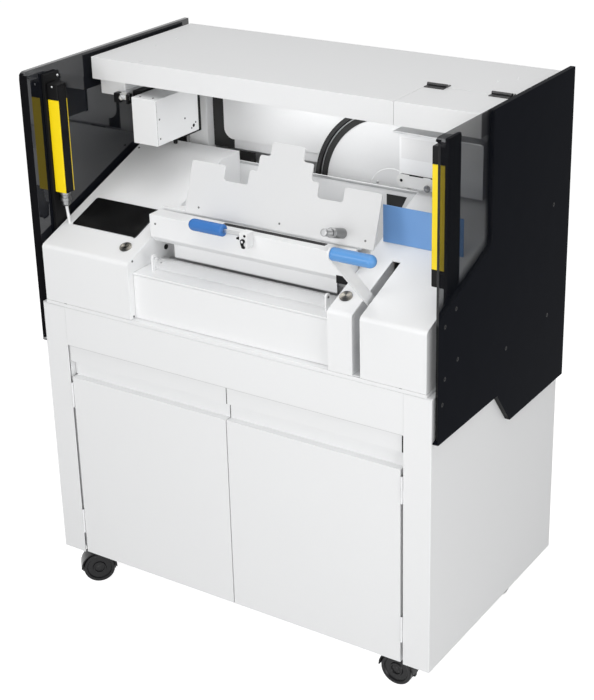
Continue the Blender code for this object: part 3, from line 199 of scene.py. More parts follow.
for lamp_name, at, aim, wide, tall, watts in (
    ("front_right", (1.3, -3.1, 1.85), (0.0, 0.0, 1.0), 1.2, 1.2, 32.5),
    ("front_left", (-1.0, -3.3, 1.75), (0.0, 0.0, 1.0), 1.2, 1.2, 22.0),
    ("front_low", (0.0, -3.4, 0.80), (0.0, 0.0, 0.9), 1.6, 0.8, 14.0),
    ("right", (3.4, -1.2, 1.2), (0.0, 0.0, 0.8), 2.4, 2.4, 49.0),
    ("overhead", (0.2, -0.6, 3.6), (0.0, 0.0, 0.8), 2.6, 2.6, 44.0),
    ("under_the_cover", (0.02, 0.06, 1.20), (0.02, 0.12, 0.90), 0.42, 0.22, 0.72),
):
    lamp = bpy.data.lights.new(lamp_name, "AREA")
    lamp.shape = "RECTANGLE"
    lamp.size, lamp.size_y = wide, tall
    lamp.energy = watts
    lamp_object = bpy.data.objects.new(lamp_name, lamp)
    facing = (Vector(aim) - Vector(at)).to_track_quat("-Z", "Y").to_matrix().to_4x4()
    lamp_object.matrix_world = Matrix.Translation(at) @ facing
    lamp_object.visible_camera = False
    lamp_object.visible_transmission = False
    scene.collection.objects.link(lamp_object)


# ---- Cabinet: two folded sides with stiles, a back and a floor, of 2 mm steel sheet
# spot-welded together and powder-coated white. The stiles carry the hinges' lower barrels.
def powder_coat(name, shade):
    """Satin white powder coat: fine orange peel, a little uneven in tone and in sheen."""
    made = Finish(name, specular_ior_level=0.4)
    cloud = made.noise(2.3, 3.0)
    speck = made.noise(160.0, 2.0)
    made.set(base_color=made.between(cloud * 0.7 + speck * 0.3, grey(shade * 0.975, 0.006),
                                     grey(shade * 1.02, 0.006)),
             roughness=0.36 + 0.10 * cloud + 0.06 * speck,
             normal=made.bumped(made.noise(620.0, 1.0), 0.00004, 0.5))
    return made


def brushed(name, shade, roughness, stretch):
    """Brushed stainless steel, with its grain along one axis."""
    made = Finish(name, metallic=1.0)
    grain = made.noise(900.0, 3.0, stretch)
    cloud = made.noise(14.0, 2.0)
    made.set(base_color=made.between(grain, grey(shade * 0.85, 0.01), grey(shade * 1.1, 0.01)),
             roughness=roughness * 0.7 + roughness * 0.4 * grain + roughness * 0.25 * cloud,
             normal=made.bumped(grain, 0.00003, 0.4))
    return made


def moulded(name, colour, roughness, grain=0.00005):
    """Moulded or enamelled surface: fine grain, slight dust in the tone."""
    made = Finish(name)
    dust = made.noise(38.0, 3.0)
    speck = made.noise(700.0, 2.0)
    lighter = tuple(channel * 1.12 + 0.002 for channel in colour)
    made.set(base_color=made.between(dust * 0.6 + speck * 0.4, (*colour, 1.0), (*lighter, 1.0)),
             roughness=roughness * 0.85 + roughness * 0.3 * dust,
             normal=made.bumped(speck, grain, 0.5))
    return made


white_paint = powder_coat("white_powder_coat", 0.80)
steel = brushed("brushed_steel", 0.62, 0.30, (0.05, 1.0, 1.0))
black_plastic = moulded("black_plastic", (0.005, 0.005, 0.0055), 0.42)
black_plastic.set(specular_ior_level=0.3, ior=1.3)
screw_steel = brushed("blackened_screw_steel", 0.16, 0.36, (1.0, 1.0, 1.0))
SHARP = math.radians(35)


def merged(node):
    """A copy of a CAD node's mesh, merged, with its flat faces whole."""
    shape = bmesh.new()
    shape.from_mesh(frame["nodes"][node].data)
    bmesh.ops.remove_doubles(shape, verts=shape.verts, dist=0.00001)
    bmesh.ops.dissolve_limit(shape, angle_limit=math.radians(0.4), verts=shape.verts,
                             edges=shape.edges)
    shape.normal_update()
    return shape


def soften(shape, width, segments=2, wanted=lambda edge: True):
    """Rounds the long outer corners of a shape."""
    shape.normal_update()
    edges = [
        edge for edge in shape.edges
        if edge.is_manifold and edge.is_convex and edge.calc_length() > 5 * width
        and edge.calc_face_angle() > SHARP and wanted(edge)
    ]
    bmesh.ops.bevel(shape, geom=edges, offset=width, offset_type="OFFSET", affect="EDGES",
                    segments=segments, profile=0.5, material=-1, clamp_overlap=True)


def piece(name, shape, body, finishes, stands_for=()):
    """Makes the finished piece and hangs it on its body."""
    for face in shape.faces:
        face.smooth = True
    mesh = bpy.data.meshes.new(name)
    shape.to_mesh(mesh)
    shape.free()
    mesh.set_sharp_from_angle(angle=SHARP)
    obj = bpy.data.objects.new(name, mesh)
    scene.collection.objects.link(obj)
    for finish in finishes:
        mesh.materials.append(finish.material)
    flat = obj.modifiers.new("Flat faces", "WEIGHTED_NORMAL")
    flat.keep_sharp = True
    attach(obj, body)
    if stands_for:
        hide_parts(*stands_for)


def carry_over(node, name, body, finishes, width=0.0, segments=2, wanted=lambda edge: True):
    """A piece that keeps a CAD node's own shape, with its corners softened."""
    shape = merged(node)
    if width:
        soften(shape, width, segments, wanted)
    piece(name, shape, body, finishes, [node])


def paint_where(shape, index, chosen):
    """Gives the faces that are chosen by their middle the finish with this index."""
    for face in shape.faces:
        if chosen(face.calc_center_median(), face):
            face.material_index = index


def grown(shape, before, index):
    """Gives what was just added its finish, closed and facing outwards."""
    verts = [vert for vert in shape.verts if vert not in before]
    bmesh.ops.remove_doubles(shape, verts=verts, dist=0.000002)
    verts = [vert for vert in shape.verts if vert not in before]
    faces = list({face for vert in verts for face in vert.link_faces})
    bmesh.ops.recalc_face_normals(shape, faces=faces)
    for face in faces:
        face.material_index = index
    return verts


def lathe(shape, profile, at, out, steps=16, index=0):
    """Turns a profile of (radius, height) points round an axis that starts at a point."""
    before = set(shape.verts)
    corners = [shape.verts.new((radius, 0.0, height)) for radius, height in profile]
    line = [shape.edges.new(pair) for pair in zip(corners, corners[1:])]
    bmesh.ops.spin(shape, geom=corners + line, cent=(0, 0, 0), axis=(0, 0, 1), dvec=(0, 0, 0),
                   angle=math.tau, steps=steps, use_merge=True)
    verts = grown(shape, before, index)
    place = Matrix.Translation(at) @ Vector(out).to_track_quat("Z", "Y").to_matrix().to_4x4()
    bmesh.ops.transform(shape, matrix=place, verts=verts)


def block(shape, low, high, index=0, bevel=0.0):
    """A rectangular block between two corners, with its edges eased."""
    before = set(shape.verts)
    bmesh.ops.create_cube(shape, size=1.0)
    verts = [vert for vert in shape.verts if vert not in before]
    low, high = Vector(low), Vector(high)
    bmesh.ops.scale(shape, vec=high - low, verts=verts)
    bmesh.ops.translate(shape, vec=(high + low) / 2, verts=verts)
    if bevel:
        edges = list({edge for vert in verts for edge in vert.link_edges})
        bmesh.ops.bevel(shape, geom=edges, offset=bevel, offset_type="OFFSET", affect="EDGES",
                        segments=2, profile=0.5, material=-1)
    grown(shape, before, index)


def plate(shape, outline, axis, low, high, index=0):
    """A flat outline, (y, z), (x, z) or (x, y), made as thick as from low to high on its axis."""
    before = set(shape.verts)
    corner = {"X": lambda a, b: (low, a, b), "Y": lambda a, b: (a, low, b),
              "Z": lambda a, b: (a, b, low)}[axis]
    face = shape.faces.new([shape.verts.new(corner(a, b)) for a, b in outline])
    sides = bmesh.ops.extrude_face_region(shape, geom=[face], use_keep_orig=True)
    far = [item for item in sides["geom"] if isinstance(item, bmesh.types.BMVert)]
    away = Vector([high - low if axis == letter else 0.0 for letter in "XYZ"])
    bmesh.ops.translate(shape, vec=away, verts=far)
    grown(shape, before, index)


def screw(shape, at, out, radius=0.003, index=0):
    """A pan head with a socket in it."""
    tall = radius * 0.55
    lathe(shape, [(0.0, tall * 0.35), (radius * 0.42, tall * 0.35), (radius * 0.48, tall * 0.95),
                  (radius * 0.74, tall * 0.85), (radius, tall * 0.3), (radius, -tall * 0.4),
                  (0.0, -tall * 0.4)], at, out, 12, index)


def joint_named(name):
    return next(joint for joint in frame["joints"] if joint["name"] == name)


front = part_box("upper_fascia")[0].y
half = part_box("side_right")[1].x
for side, word in ((-1, "left"), (1, "right")):
    shape = merged("side_" + word)
    paint_where(shape, 1, lambda at, face: abs(at.x) < half - 0.0637)
    soften(shape, 0.0018, 3,
           lambda edge: all(abs(vert.co.x) > half - 0.0001 for vert in edge.verts))
    piece("side_panel_" + word, shape, "frame", [white_paint, steel],
          ["side_" + word])
carry_over("cabinet_back", "back_panel", "frame", [white_paint], 0.0006)

shape = merged("cabinet_floor")
paint_where(shape, 1, lambda at, face: at.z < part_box("cabinet_back")[0].z - 0.0002)
soften(shape, 0.0005)
bolt_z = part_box("cabinet_floor")[0].z + 0.0003
for corner in ("front_left", "front_right", "rear_left", "rear_right"):
    swivel = joint_named("swivel_" + corner)["pos_m"]
    for dx in (-0.022, 0.022):
        for dy in (-0.022, 0.022):
            screw(shape, (swivel[0] + dx, swivel[1] + dy, bolt_z), (0, 0, 1), 0.0035, 1)
piece("floor_panel", shape, "frame", [white_paint, steel], ["cabinet_floor"])

# ---- Upper fascia: one folded sheet across the cabinet's front, with a recessed band and,
# below it, the channel that the fingers reach into to pull the doors.
carry_over("upper_fascia", "fascia_panel", "frame", [white_paint], 0.0012, 2,
           lambda edge: abs(edge.verts[0].co.x - edge.verts[1].co.x) > 0.5)

# ---- Doors: two steel pans with their edges folded back, powder-coated with the cabinet.
# Each hangs on two welded pin hinges; the upper barrels are the door's. A wall stands up
# behind the top edge and closes the finger channel.
door_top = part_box("door_left")[1].z
door_side, door_back = 0.43, front + 0.020
for word, side in (("left", -1), ("right", 1)):
    node = "door_" + word
    shape = merged(node)
    paint_where(shape, 1, lambda at, face: abs(at.x) > door_side - 0.00002)
    soften(shape, 0.0016, 3, lambda edge: edge.calc_length() > 0.1
           and (edge.verts[0].co.y + edge.verts[1].co.y) / 2 < front + 0.0001)
    inner_x, outer_x = sorted((side * 0.0012, side * (door_side - 0.0001)))
    block(shape, (inner_x, door_back - 0.0020, door_top - 0.0004),
          (outer_x, door_back - 0.0004, door_top + 0.0357))
    piece("door_panel_" + word, shape, node, [white_paint, steel], [node])

# ---- Door stops: sheet flanges behind the stiles, which close the channel's ends. The rest is painted shade:
# a black block behind the doors' meeting edges, black strips for the band's seams, and a grey strip under the
# fascia's step.
stile_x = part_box("upper_fascia")[1].x
band_y, stop_y = front + 0.0062, door_back + 0.0004
channel_top, seam_low, seam_high = door_top + 0.0362, door_top + 0.0368, door_top + 0.0780
shape = bmesh.new()
for side in (-1, 1):
    inner_x, outer_x = sorted((side * (door_side - 0.0015), side * (stile_x - 0.0002)))
    block(shape, (inner_x, stop_y, door_top + 0.0002), (outer_x, stop_y + 0.0010, channel_top))
    inner_x, outer_x = sorted((side * (stile_x + 0.0006), side * (stile_x + 0.0016)))
    block(shape, (inner_x, front + 0.0050, 0.1060), (outer_x, stop_y + 0.0010, seam_high))
# Grey strip on the band just under the fascia's lower edge: painted shadow of that step.
block(shape, (-stile_x + 0.0010, band_y - 0.0006, door_top + 0.0745),
      (stile_x - 0.0010, band_y, door_top + 0.0783), 2)
# Black block behind the doors' meeting edges: painted shade in the gap between the doors.
block(shape, (-0.0045, stop_y, door_top - 0.0240), (0.0045, stop_y + 0.0020, channel_top), 1)
# Black strips laid on the band, at its middle and its right end: painted shade standing for its seams.
for low_x, high_x in ((-0.0008, 0.0008), (stile_x - 0.0060, stile_x - 0.0012)):
    block(shape, (low_x, band_y - 0.0005, seam_low), (high_x, band_y, seam_high), 1)
step_shadow_paint = powder_coat("painted_step_shadow", 0.60)
piece("door_stops_and_painted_gap_shade", shape, "frame", [white_paint, black_plastic, step_shadow_paint])

# ---- Casters: glossy black nylon twin wheels under a hood, free to swivel on the plate's
# stem. The wheels are moulded with a stepped hub and a grooved tread.
for corner in ("front_left", "front_right", "rear_left", "rear_right"):
    fork, wheel = "caster_fork_" + corner, "caster_wheel_" + corner
    hood = moulded("caster_hood_" + corner, (0.008, 0.008, 0.009), 0.25)
    hood.set(specular_ior_level=0.28)
    carry_over(fork, "hood_" + corner, "caster_" + corner, [hood], 0.0006)
    roll_joint = joint_named("roll_" + corner)
    hub, axle = Vector(roll_joint["pos_m"]), Vector(roll_joint["axis"])
    shape = bmesh.new()
    outer = [
        (0.0, 0.0186), (0.0055, 0.0186), (0.0070, 0.0172), (0.0110, 0.0166), (0.0122, 0.0188),
        (0.0150, 0.0188), (0.0166, 0.0160), (0.0280, 0.0156), (0.0300, 0.0188), (0.0330, 0.0197),
        (0.0360, 0.0192), (0.0374, 0.0176), (0.0375, 0.0148), (0.0371, 0.0142), (0.0375, 0.0136),
        (0.0375, 0.0098), (0.0371, 0.0092), (0.0375, 0.0086), (0.0374, 0.0056), (0.0362, 0.0040),
        (0.0340, 0.0038), (0.0050, 0.0038),
    ]
    lathe(shape, outer + [(radius, -height) for radius, height in reversed(outer)], hub, axle, 40)
    piece("twin_wheel_" + corner, shape, "wheel_" + corner, [hood], [wheel])

# ---- Base plate: the machine's stepped steel deck, bolted down on the cabinet and painted
# with it. Two small black latches sit in its front seam.
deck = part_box("machine_base")[1].z + 0.0003
carry_over("machine_base", "deck_plate", "frame", [white_paint], 0.0008)


def from_deck(x, back, up):
    """A point this far behind the front and above the deck."""
    return Vector((x, front + back, deck + up))


shape = bmesh.new()
for x in (-0.432, 0.430):
    block(shape, from_deck(x - 0.004, 0.0002, -0.0085), from_deck(x + 0.004, 0.006, 0.0002),
          0, 0.0006)
piece("seam_catches", shape, "frame", [black_plastic])

# ---- Cowls: two folded and welded steel housings with a sloping top, screwed to the deck
# through their inner walls. The right one is slotted for the lever.
slope, cowl_front = math.radians(20.5), 0.1315
off_slope = Vector((0.0, -math.sin(slope), math.cos(slope)))


def on_slope(x, back, lift=0.0):
    """A point on the cowls' slope, this far behind the front."""
    return from_deck(x, back, cowl_front + back * math.tan(slope)) + off_slope * lift


for word in ("left", "right"):
    carry_over("cowl_" + word, "cowl_housing_" + word, "frame", [white_paint],
               0.0024, 3, lambda edge: edge.calc_length() > 0.025)
left_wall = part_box("cowl_left")[1].x
right_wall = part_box("cowl_right")[0].x
shape = bmesh.new()
for wall, out in ((left_wall, 1), (right_wall, -1)):
    for back, height in ((0.0178, 0.132), (0.0107, 0.005)):
        screw(shape, from_deck(wall, back, height), (out, 0, 0), 0.0026)
    lathe(shape, [(0.0, 0.0030), (0.0048, 0.0030), (0.0058, 0.0022), (0.0062, -0.0004),
                  (0.0, -0.0004)], from_deck(wall, 0.136, 0.127), (out, 0, 0), 18, 1)
for x, back in ((-0.479, 0.350), (0.470, 0.352)):
    screw(shape, on_slope(x, back), off_slope, 0.0028)
piece("cowl_screws", shape, "frame", [screw_steel, black_plastic])

# ---- Lever channel: a folded steel trough under the slot. Its walls carry the lever's shaft.
trough_steel = brushed("zinc_plated_steel", 0.72, 0.50, (1.0, 0.06, 1.0))
trough_steel.set(metallic=0.1)
carry_over("slot_channel", "lever_trough", "frame", [trough_steel], 0.0004, 1)

# ---- Lever: a flat steel arm, painted white and pinned on its shaft, with a moulded blue
# grip pushed on a rod at its end. Two small screws hold the rod's boss.
blue_plastic = moulded("blue_grip_plastic", (0.030, 0.150, 0.440), 0.24, 0.00003)
blue_plastic.set(specular_ior_level=0.35)
pale_blue_plastic = moulded("pale_blue_grip_plastic", (0.085, 0.260, 0.560), 0.24, 0.00003)
pale_blue_plastic.set(specular_ior_level=0.35)
shape = merged("lever_arm")
arm_middle = sum(corner.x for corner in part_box("slot_channel")) / 2
paint_where(shape, 1, lambda at, face: abs(at.x - arm_middle) > 0.0024)
soften(shape, 0.0006, 2, lambda edge: edge.calc_length() > 0.1)
pivot = Vector(joint_named("lever_hinge")["pos_m"])
lean = math.radians(46)
along_arm = Vector((0.0, -math.cos(lean), math.sin(lean)))
for reach in (0.300, 0.272, 0.020):
    for out in (1, -1):
        if reach < 0.3 or out < 0:
            screw(shape, pivot + along_arm * reach + Vector((out * 0.002, 0, 0)),
                  (out, 0, 0), 0.0032, 1)
piece("lever_bar", shape, "lever", [white_paint, steel], ["lever_arm"])


def grip(name, node, body, out, finish, shorter):
    """A moulded grip: round nose, shallow waist rings, and an open end round its rod."""
    low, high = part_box(node)
    radius = (high.z - low.z) / 2
    start = Vector((low.x if out > 0 else high.x, (low.y + high.y) / 2, (low.z + high.z) / 2))
    long = high.x - low.x - shorter
    nose, bore = long - radius, 0.0048
    profile = [(0.0, 0.010), (bore, 0.010), (bore, 0.0), (radius - 0.0030, 0.0),
               (radius - 0.0012, 0.0006), (radius - 0.0002, 0.0020), (radius, 0.0045),
               (radius - 0.0006, 0.0052), (radius - 0.0006, 0.0066), (radius, 0.0073),
               (radius, nose * 0.55)]
    for step in range(8):
        turn = math.radians(90) * step / 8
        profile.append((radius * math.cos(turn), nose + radius * math.sin(turn)))
    profile.append((0.0, long))
    shape = bmesh.new()
    lathe(shape, profile, start, (out, 0, 0), 40)
    piece(name, shape, body, [finish], [node])


grip("lever_grip", "grip_right", "lever", 1, pale_blue_plastic, 0.004)

# ---- Loading bay: front panel, table with two ears, and a back wall, all folded sheet,
# painted white. The back wall's flange carries the guide plate and ends with it.
plate_lean = math.radians(19.2)
up_plate = Vector((0.0, math.sin(plate_lean), math.cos(plate_lean)))
off_plate = Vector((0.0, -math.cos(plate_lean), math.sin(plate_lean)))
plate_low, plate_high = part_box("guide_plate")
for node, name in (("bay_front", "bay_panel"), ("bay_table", "loading_table"),
                   ("bay_rear", "bay_back_wall")):
    shape = merged(node)
    if node == "bay_rear":
        for x in (plate_low.x, plate_low.x - 0.0015):
            bmesh.ops.bisect_plane(shape, geom=shape.verts[:] + shape.edges[:] + shape.faces[:],
                                   plane_co=(x, 0, 0), plane_no=(1, 0, 0))
        for vert in shape.verts:
            if vert.co.x < plate_low.x - 0.001 and vert.co.z > deck + 0.2300:
                vert.co -= up_plate * 0.0230
    soften(shape, 0.0010, 2)
    piece(name, shape, "frame", [white_paint], [node])
table_low, table_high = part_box("bay_table")
table_top = deck + 0.1065
bay_left, bay_right = table_low.x, table_high.x
shape = bmesh.new()
for x, out in ((bay_left + 0.0337, 1), (bay_right - 0.0337, -1)):
    screw(shape, (x - out * 0.0042, front + 0.0530, deck + 0.1345), (-out, 0, 0), 0.0028)
    screw(shape, (x - out * 0.016, front + 0.094, table_top), (0, 0, 1), 0.0025)
piece("table_screws", shape, "frame", [screw_steel])

# ---- Feed roller: grey rubber on a steel axle, driven from the right; behind it the
# serrated steel strip that parts the material.
roller_rubber = moulded("grey_roller_rubber", (0.320, 0.320, 0.330), 0.42, 0.00008)
roller_low, roller_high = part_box("feed_roller")
middle_y, middle_z = (roller_low.y + roller_high.y) / 2, (roller_low.z + roller_high.z) / 2
long = roller_high.x - roller_low.x
shape = bmesh.new()
profile = [(0.0, 0.0), (0.005, 0.0), (0.005, 0.0085), (0.0085, 0.0085), (0.0085, 0.0100),
           (0.0104, 0.0100), (0.0110, 0.0108)]
mirror_half = [(radius, long - height) for radius, height in reversed(profile)]
lathe(shape, profile + mirror_half, (roller_low.x, middle_y, middle_z), (1, 0, 0), 32)
paint_where(shape, 1, lambda at, face: min(at.x - roller_low.x, roller_high.x - at.x) < 0.0098)
piece("feed_roll", shape, "roller", [roller_rubber, steel], ["feed_roller"])

ground_steel = brushed("ground_steel", 0.62, 0.34, (0.05, 1.0, 1.0))
ground_steel.set(metallic=0.6)
carry_over("cutting_strip", "serrated_strip", "frame", [ground_steel])

# A white apron hangs in front of the roller, from a flange on the bay's back wall.
shape = bmesh.new()
apron_y, flange_y, sheet = front + 0.1268, front + 0.1500, 0.0012
apron_foot, apron_top = deck + 0.1112, deck + 0.1640
profile = [(apron_y, apron_foot), (apron_y + sheet, apron_foot),
           (apron_y + sheet, apron_top - sheet), (flange_y, apron_top - sheet),
           (flange_y, apron_top), (apron_y, apron_top)]
plate(shape, profile, "X", -0.2130, 0.2070)
block(shape, (-0.2060, apron_y - 0.0006, apron_foot - 0.0002),
      (0.2060, apron_y - 0.0001, apron_foot + 0.0016), 1)
piece("roller_apron", shape, "frame", [white_paint, ground_steel])

shape = merged("feed_motor")
low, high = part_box("feed_motor")
for y in (low.y + 0.006, high.y - 0.006):
    for z in (low.z + 0.006, high.z - 0.006):
        screw(shape, (high.x, y, z), (1, 0, 0), 0.0028)
piece("drive_motor", shape, "frame", [black_plastic], ["feed_motor"])

# ---- Guard: a strip of clear acrylic that hangs on two pins in the table's ears.
clear = Finish("clear_acrylic", base_color=grey(0.86, 0.01), ior=1.49)
haze = clear.noise(30.0, 2.0)
clear.set(alpha=0.12 + 0.06 * haze, roughness=0.05 + 0.06 * haze)
carry_over("clear_guard", "guard_strip", "guard", [clear], 0.0005, 1,
           lambda edge: edge.calc_length() > 0.1)

# ---- Clamp bar: a folded white channel that tips down on the work, with a bracket, a rod
# and a blue grip at its left, and a little black latch.
shape = merged("clamp_bar")
bar_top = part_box("clamp_bar")[1].z
paint_where(shape, 1, lambda at, face: at.x < left_wall or at.x > right_wall)
soften(shape, 0.0016, 2, lambda edge: edge.calc_length() > 0.02)
bar_face = front + 0.084
for x in (bay_left + 0.016, bay_right - 0.016):
    screw(shape, (x, bar_face, deck + 0.200), (0, -1, 0), 0.0026, 2)
# Black strip along the bar's top: painted shade in the slot between the bar and the guide plate.
block(shape, (-0.0657, front + 0.1060, bar_top - 0.0004),
      (0.1917, front + 0.1190, bar_top + 0.0005), 3, 0.0002)
block(shape, (0.2325, bar_face - 0.0004, deck + 0.1550),
      (0.2605, bar_face + 0.0004, deck + 0.1720), 3)
piece("clamp_channel", shape, "clamp",
      [white_paint, steel, screw_steel, black_plastic], ["clamp_bar"])

shape = merged("clamp_handle")
handle_low, handle_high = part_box("clamp_handle")
handle_end = handle_high.x
paint_where(shape, 1, lambda at, face: at.x > handle_end - 0.0205)
soften(shape, 0.0006, 1, lambda edge: edge.calc_length() > 0.008)
screw(shape, (handle_end - 0.006, handle_low.y, handle_high.z - 0.005), (0, -1, 0), 0.0030, 2)
block(shape, (handle_end - 0.0290, handle_low.y + 0.0020, handle_high.z - 0.0165),
      (handle_end - 0.0206, handle_low.y + 0.0100, handle_high.z - 0.0125), 2, 0.0005)
piece("grip_bracket", shape, "clamp", [steel, white_paint, black_plastic],
      ["clamp_handle"])
grip("clamp_grip", "grip_left", "clamp", -1, blue_plastic, 0.010)

latch_low, latch_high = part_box("clamp_latch")
hook_x, hook_z = (latch_low.x + latch_high.x) / 2, latch_high.z - 0.006
shape = bmesh.new()
outline = [(hook_x + 0.0055 * math.cos(math.radians(turn)),
            hook_z + 0.0055 * math.sin(math.radians(turn))) for turn in range(0, 181, 30)]
outline += [(hook_x - 0.0045, hook_z - 0.0060), (hook_x - 0.0015, hook_z - 0.0150),
            (hook_x + 0.0050, hook_z - 0.0150), (hook_x + 0.0050, hook_z - 0.0110),
            (hook_x + 0.0020, hook_z - 0.0100), (hook_x + 0.0012, hook_z - 0.0060)]
plate(shape, outline, "Y", latch_low.y + 0.0018, latch_high.y)
soften(shape, 0.0005, 1)
screw(shape, (hook_x, latch_low.y + 0.0018, hook_z), (0, -1, 0), 0.0028, 1)
piece("swing_latch", shape, "latch", [black_plastic, steel], ["clamp_latch"])

# ---- Operator controls: a glass touch screen bonded flat on the left slope, and a steel
# start button in a chamfered ring on each slope, both to be pressed together.
glass = Finish("screen_glass", base_color=(0.006, 0.0065, 0.006, 1.0), ior=1.5)
smear = glass.noise(9.0, 4.0)
glass.set(roughness=0.10 + 0.22 * glass.band(smear, 0.45, 0.75),
          base_color=glass.between(smear, grey(0.0045), grey(0.0085)))
screen_low, screen_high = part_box("touch_screen")
half_wide, half_long = (screen_high.x - screen_low.x) / 2 + 0.0015, 0.0500
corner, thick = 0.006, 0.003
outline = []
for quarter, (to_x, to_y) in enumerate(((1, 1), (-1, 1), (-1, -1), (1, -1))):
    for step in range(7):
        turn = math.radians(90 * quarter + 15 * step)
        outline.append((to_x * (half_wide - corner) + corner * math.cos(turn),
                        to_y * (half_long - corner) + corner * math.sin(turn)))
shape = bmesh.new()
plate(shape, outline, "Z", 0.0, thick)
paint_where(shape, 1, lambda at, face: at.y < 0.0005 - half_long)
rim = [edge for edge in shape.edges if all(vert.co.z > thick - 0.0001 for vert in edge.verts)]
bmesh.ops.bevel(shape, geom=rim, offset=0.0004, offset_type="OFFSET", affect="EDGES",
                segments=2, profile=0.5, material=-1)
middle = on_slope((screen_low.x + screen_high.x) / 2 + 0.0010, 0.1210, 0.0003)
bmesh.ops.transform(shape, matrix=Matrix.Translation(middle) @ Matrix.Rotation(slope, 4, "X"),
                    verts=shape.verts)
piece("screen_pane", shape, "frame", [glass, trough_steel], ["touch_screen"])


def spun_steel(name, centre):
    """Lathe-turned steel: fine rings round the button's middle, and dark and light sectors in its colour, a
    painted reflection of the bow-tie highlight that turned steel shows.
    """
    made = Finish(name, metallic=1.0, anisotropic=0.6)
    place = made.node("ShaderNodeTexCoord", {}, {}, "Object")
    flat = Matrix.Rotation(-slope, 3, "X").to_euler()
    place = made.node("ShaderNodeMapping", {"vector_type": "POINT"},
                      {"Vector": place, "Location": -(Matrix.Rotation(-slope, 3, "X") @ centre),
                       "Rotation": flat})
    gradient = made.node("ShaderNodeTexGradient", {"gradient_type": "RADIAL"}, {"Vector": place})
    # Two light and two dark sectors round the middle: a painted reflection.
    reflection_sector = gradient.maths("SINE", gradient * (math.tau * 2) + 0.9, 0.0)
    rings = made.node("ShaderNodeTexWave", {"wave_type": "RINGS", "rings_direction": "Z"},
                      {"Vector": place, "Scale": 900.0, "Distortion": 0.4})
    painted_highlight = made.band(reflection_sector, -0.9, 0.9)
    made.set(base_color=made.between(painted_highlight, grey(0.05), (0.50, 0.47, 0.42, 1.0)),
             roughness=0.24 + 0.10 * rings, normal=made.bumped(rings, 0.00004, 0.35))
    return made


for word in ("left", "right"):
    low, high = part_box("button_bezel_" + word)
    ring_finish = spun_steel("turned_ring_" + word, (low + high) / 2)
    carry_over("button_bezel_" + word, "button_ring_" + word, "frame",
               [ring_finish])
    low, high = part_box("start_button_" + word)
    base = (low + high) / 2 - off_slope * 0.0012
    radius = 0.0110
    shape = bmesh.new()
    lathe(shape, [(0.0, 0.0), (radius - 0.0003, 0.0), (radius, 0.0003), (radius, 0.0018),
                  (radius - 0.0006, 0.0024), (radius - 0.0022, 0.0024), (radius - 0.0026, 0.0021),
                  (radius * 0.5, 0.0017), (0.0, 0.0015)], base, off_slope, 40)
    piece("button_cap_" + word, shape, "button_" + word, [ring_finish],
          ["start_button_" + word])

# ---- Guide plate: a bent steel plate, painted white, with two notches and a stepped tongue,
# screwed to the bay's flange. A spring plunger with a steel knob locks the paper guide on it.
plate_foot = Vector(((plate_low.x + plate_high.x) / 2, front + 0.127, deck + 0.222))
shape = merged("guide_plate")
corners = [edge for edge in shape.edges if edge.calc_length() < 0.0030
           and abs((edge.verts[0].co - edge.verts[1].co).normalized().dot(off_plate)) > 0.9
           and (edge.verts[0].co - plate_foot).dot(up_plate) > 0.02]
bmesh.ops.bevel(shape, geom=corners, offset=0.006, offset_type="OFFSET", affect="EDGES",
                segments=4, profile=0.5, material=-1)
soften(shape, 0.0004, 1, lambda edge: True)
# A darker copy of the white powder coat, for the guide plate and the reel's disc: painted shade on surfaces that
# are white like the cabinet.
shade_painted_white = powder_coat("white_paint_darkened_for_shade", 0.67)
piece("guide_panel", shape, "frame", [shade_painted_white], ["guide_plate"])
shape = bmesh.new()
for x in (-0.2025, 0.0065, 0.2155):
    screw(shape, plate_foot + Vector((x, 0, 0)) + up_plate * 0.016, off_plate, 0.0024)
piece("guide_screws", shape, "frame", [screw_steel])
satin_steel = brushed("satin_steel", 0.27, 0.36, (1.0, 1.0, 0.2))
knob_foot = plate_foot + Vector((0.160, 0, 0)) + up_plate * 0.022 + off_plate * 0.0003
shape = bmesh.new()
bore, wall_radius = 0.0043, 0.0110
lathe(shape, [(bore, 0.0478), (bore + 0.002, 0.0478), (wall_radius - 0.0014, 0.0478),
              (wall_radius - 0.0002, 0.0468), (wall_radius - 0.0002, 0.0440),
              (wall_radius - 0.0010, 0.0432), (wall_radius - 0.0010, 0.0420),
              (wall_radius - 0.0001, 0.0412), (wall_radius - 0.0001, 0.0040),
              (wall_radius - 0.0008, 0.0030), (wall_radius - 0.0001, 0.0022),
              (wall_radius - 0.0001, 0.0), (bore, 0.0), (bore, 0.0478)], knob_foot, off_plate, 40)
piece("plunger_sleeve", shape, "frame", [satin_steel], ["plunger_body"])
shape = bmesh.new()
profile = [(0.0, 0.002), (0.0040, 0.002), (0.0040, 0.0483), (0.0072, 0.0483), (0.0079, 0.0490)]
for ridge in range(9):
    start = 0.0510 + ridge * 0.0022
    profile += [(0.0079, start), (0.0073, start + 0.0006), (0.0073, start + 0.0012),
                (0.0079, start + 0.0018)]
profile += [(0.0079, 0.0746), (0.0068, 0.0757), (0.0030, 0.0760), (0.0, 0.0750)]
lathe(shape, profile, knob_foot, off_plate, 32)
piece("plunger_pull_knob", shape, "plunger", [satin_steel], ["plunger_knob"])

# ---- Blue flap: a thin moulded plate that stands on the right slope and tips forward.
flap_blue = moulded("blue_flap_plastic", (0.150, 0.319, 0.630), 0.38, 0.00004)
cloud = flap_blue.noise(9.0, 2.0)
flap_blue.set(base_color=flap_blue.between(cloud, (0.138, 0.300, 0.605, 1.0),
                                           (0.160, 0.336, 0.655, 1.0)))
carry_over("blue_flap", "flap_plate", "flap", [flap_blue], 0.0007)

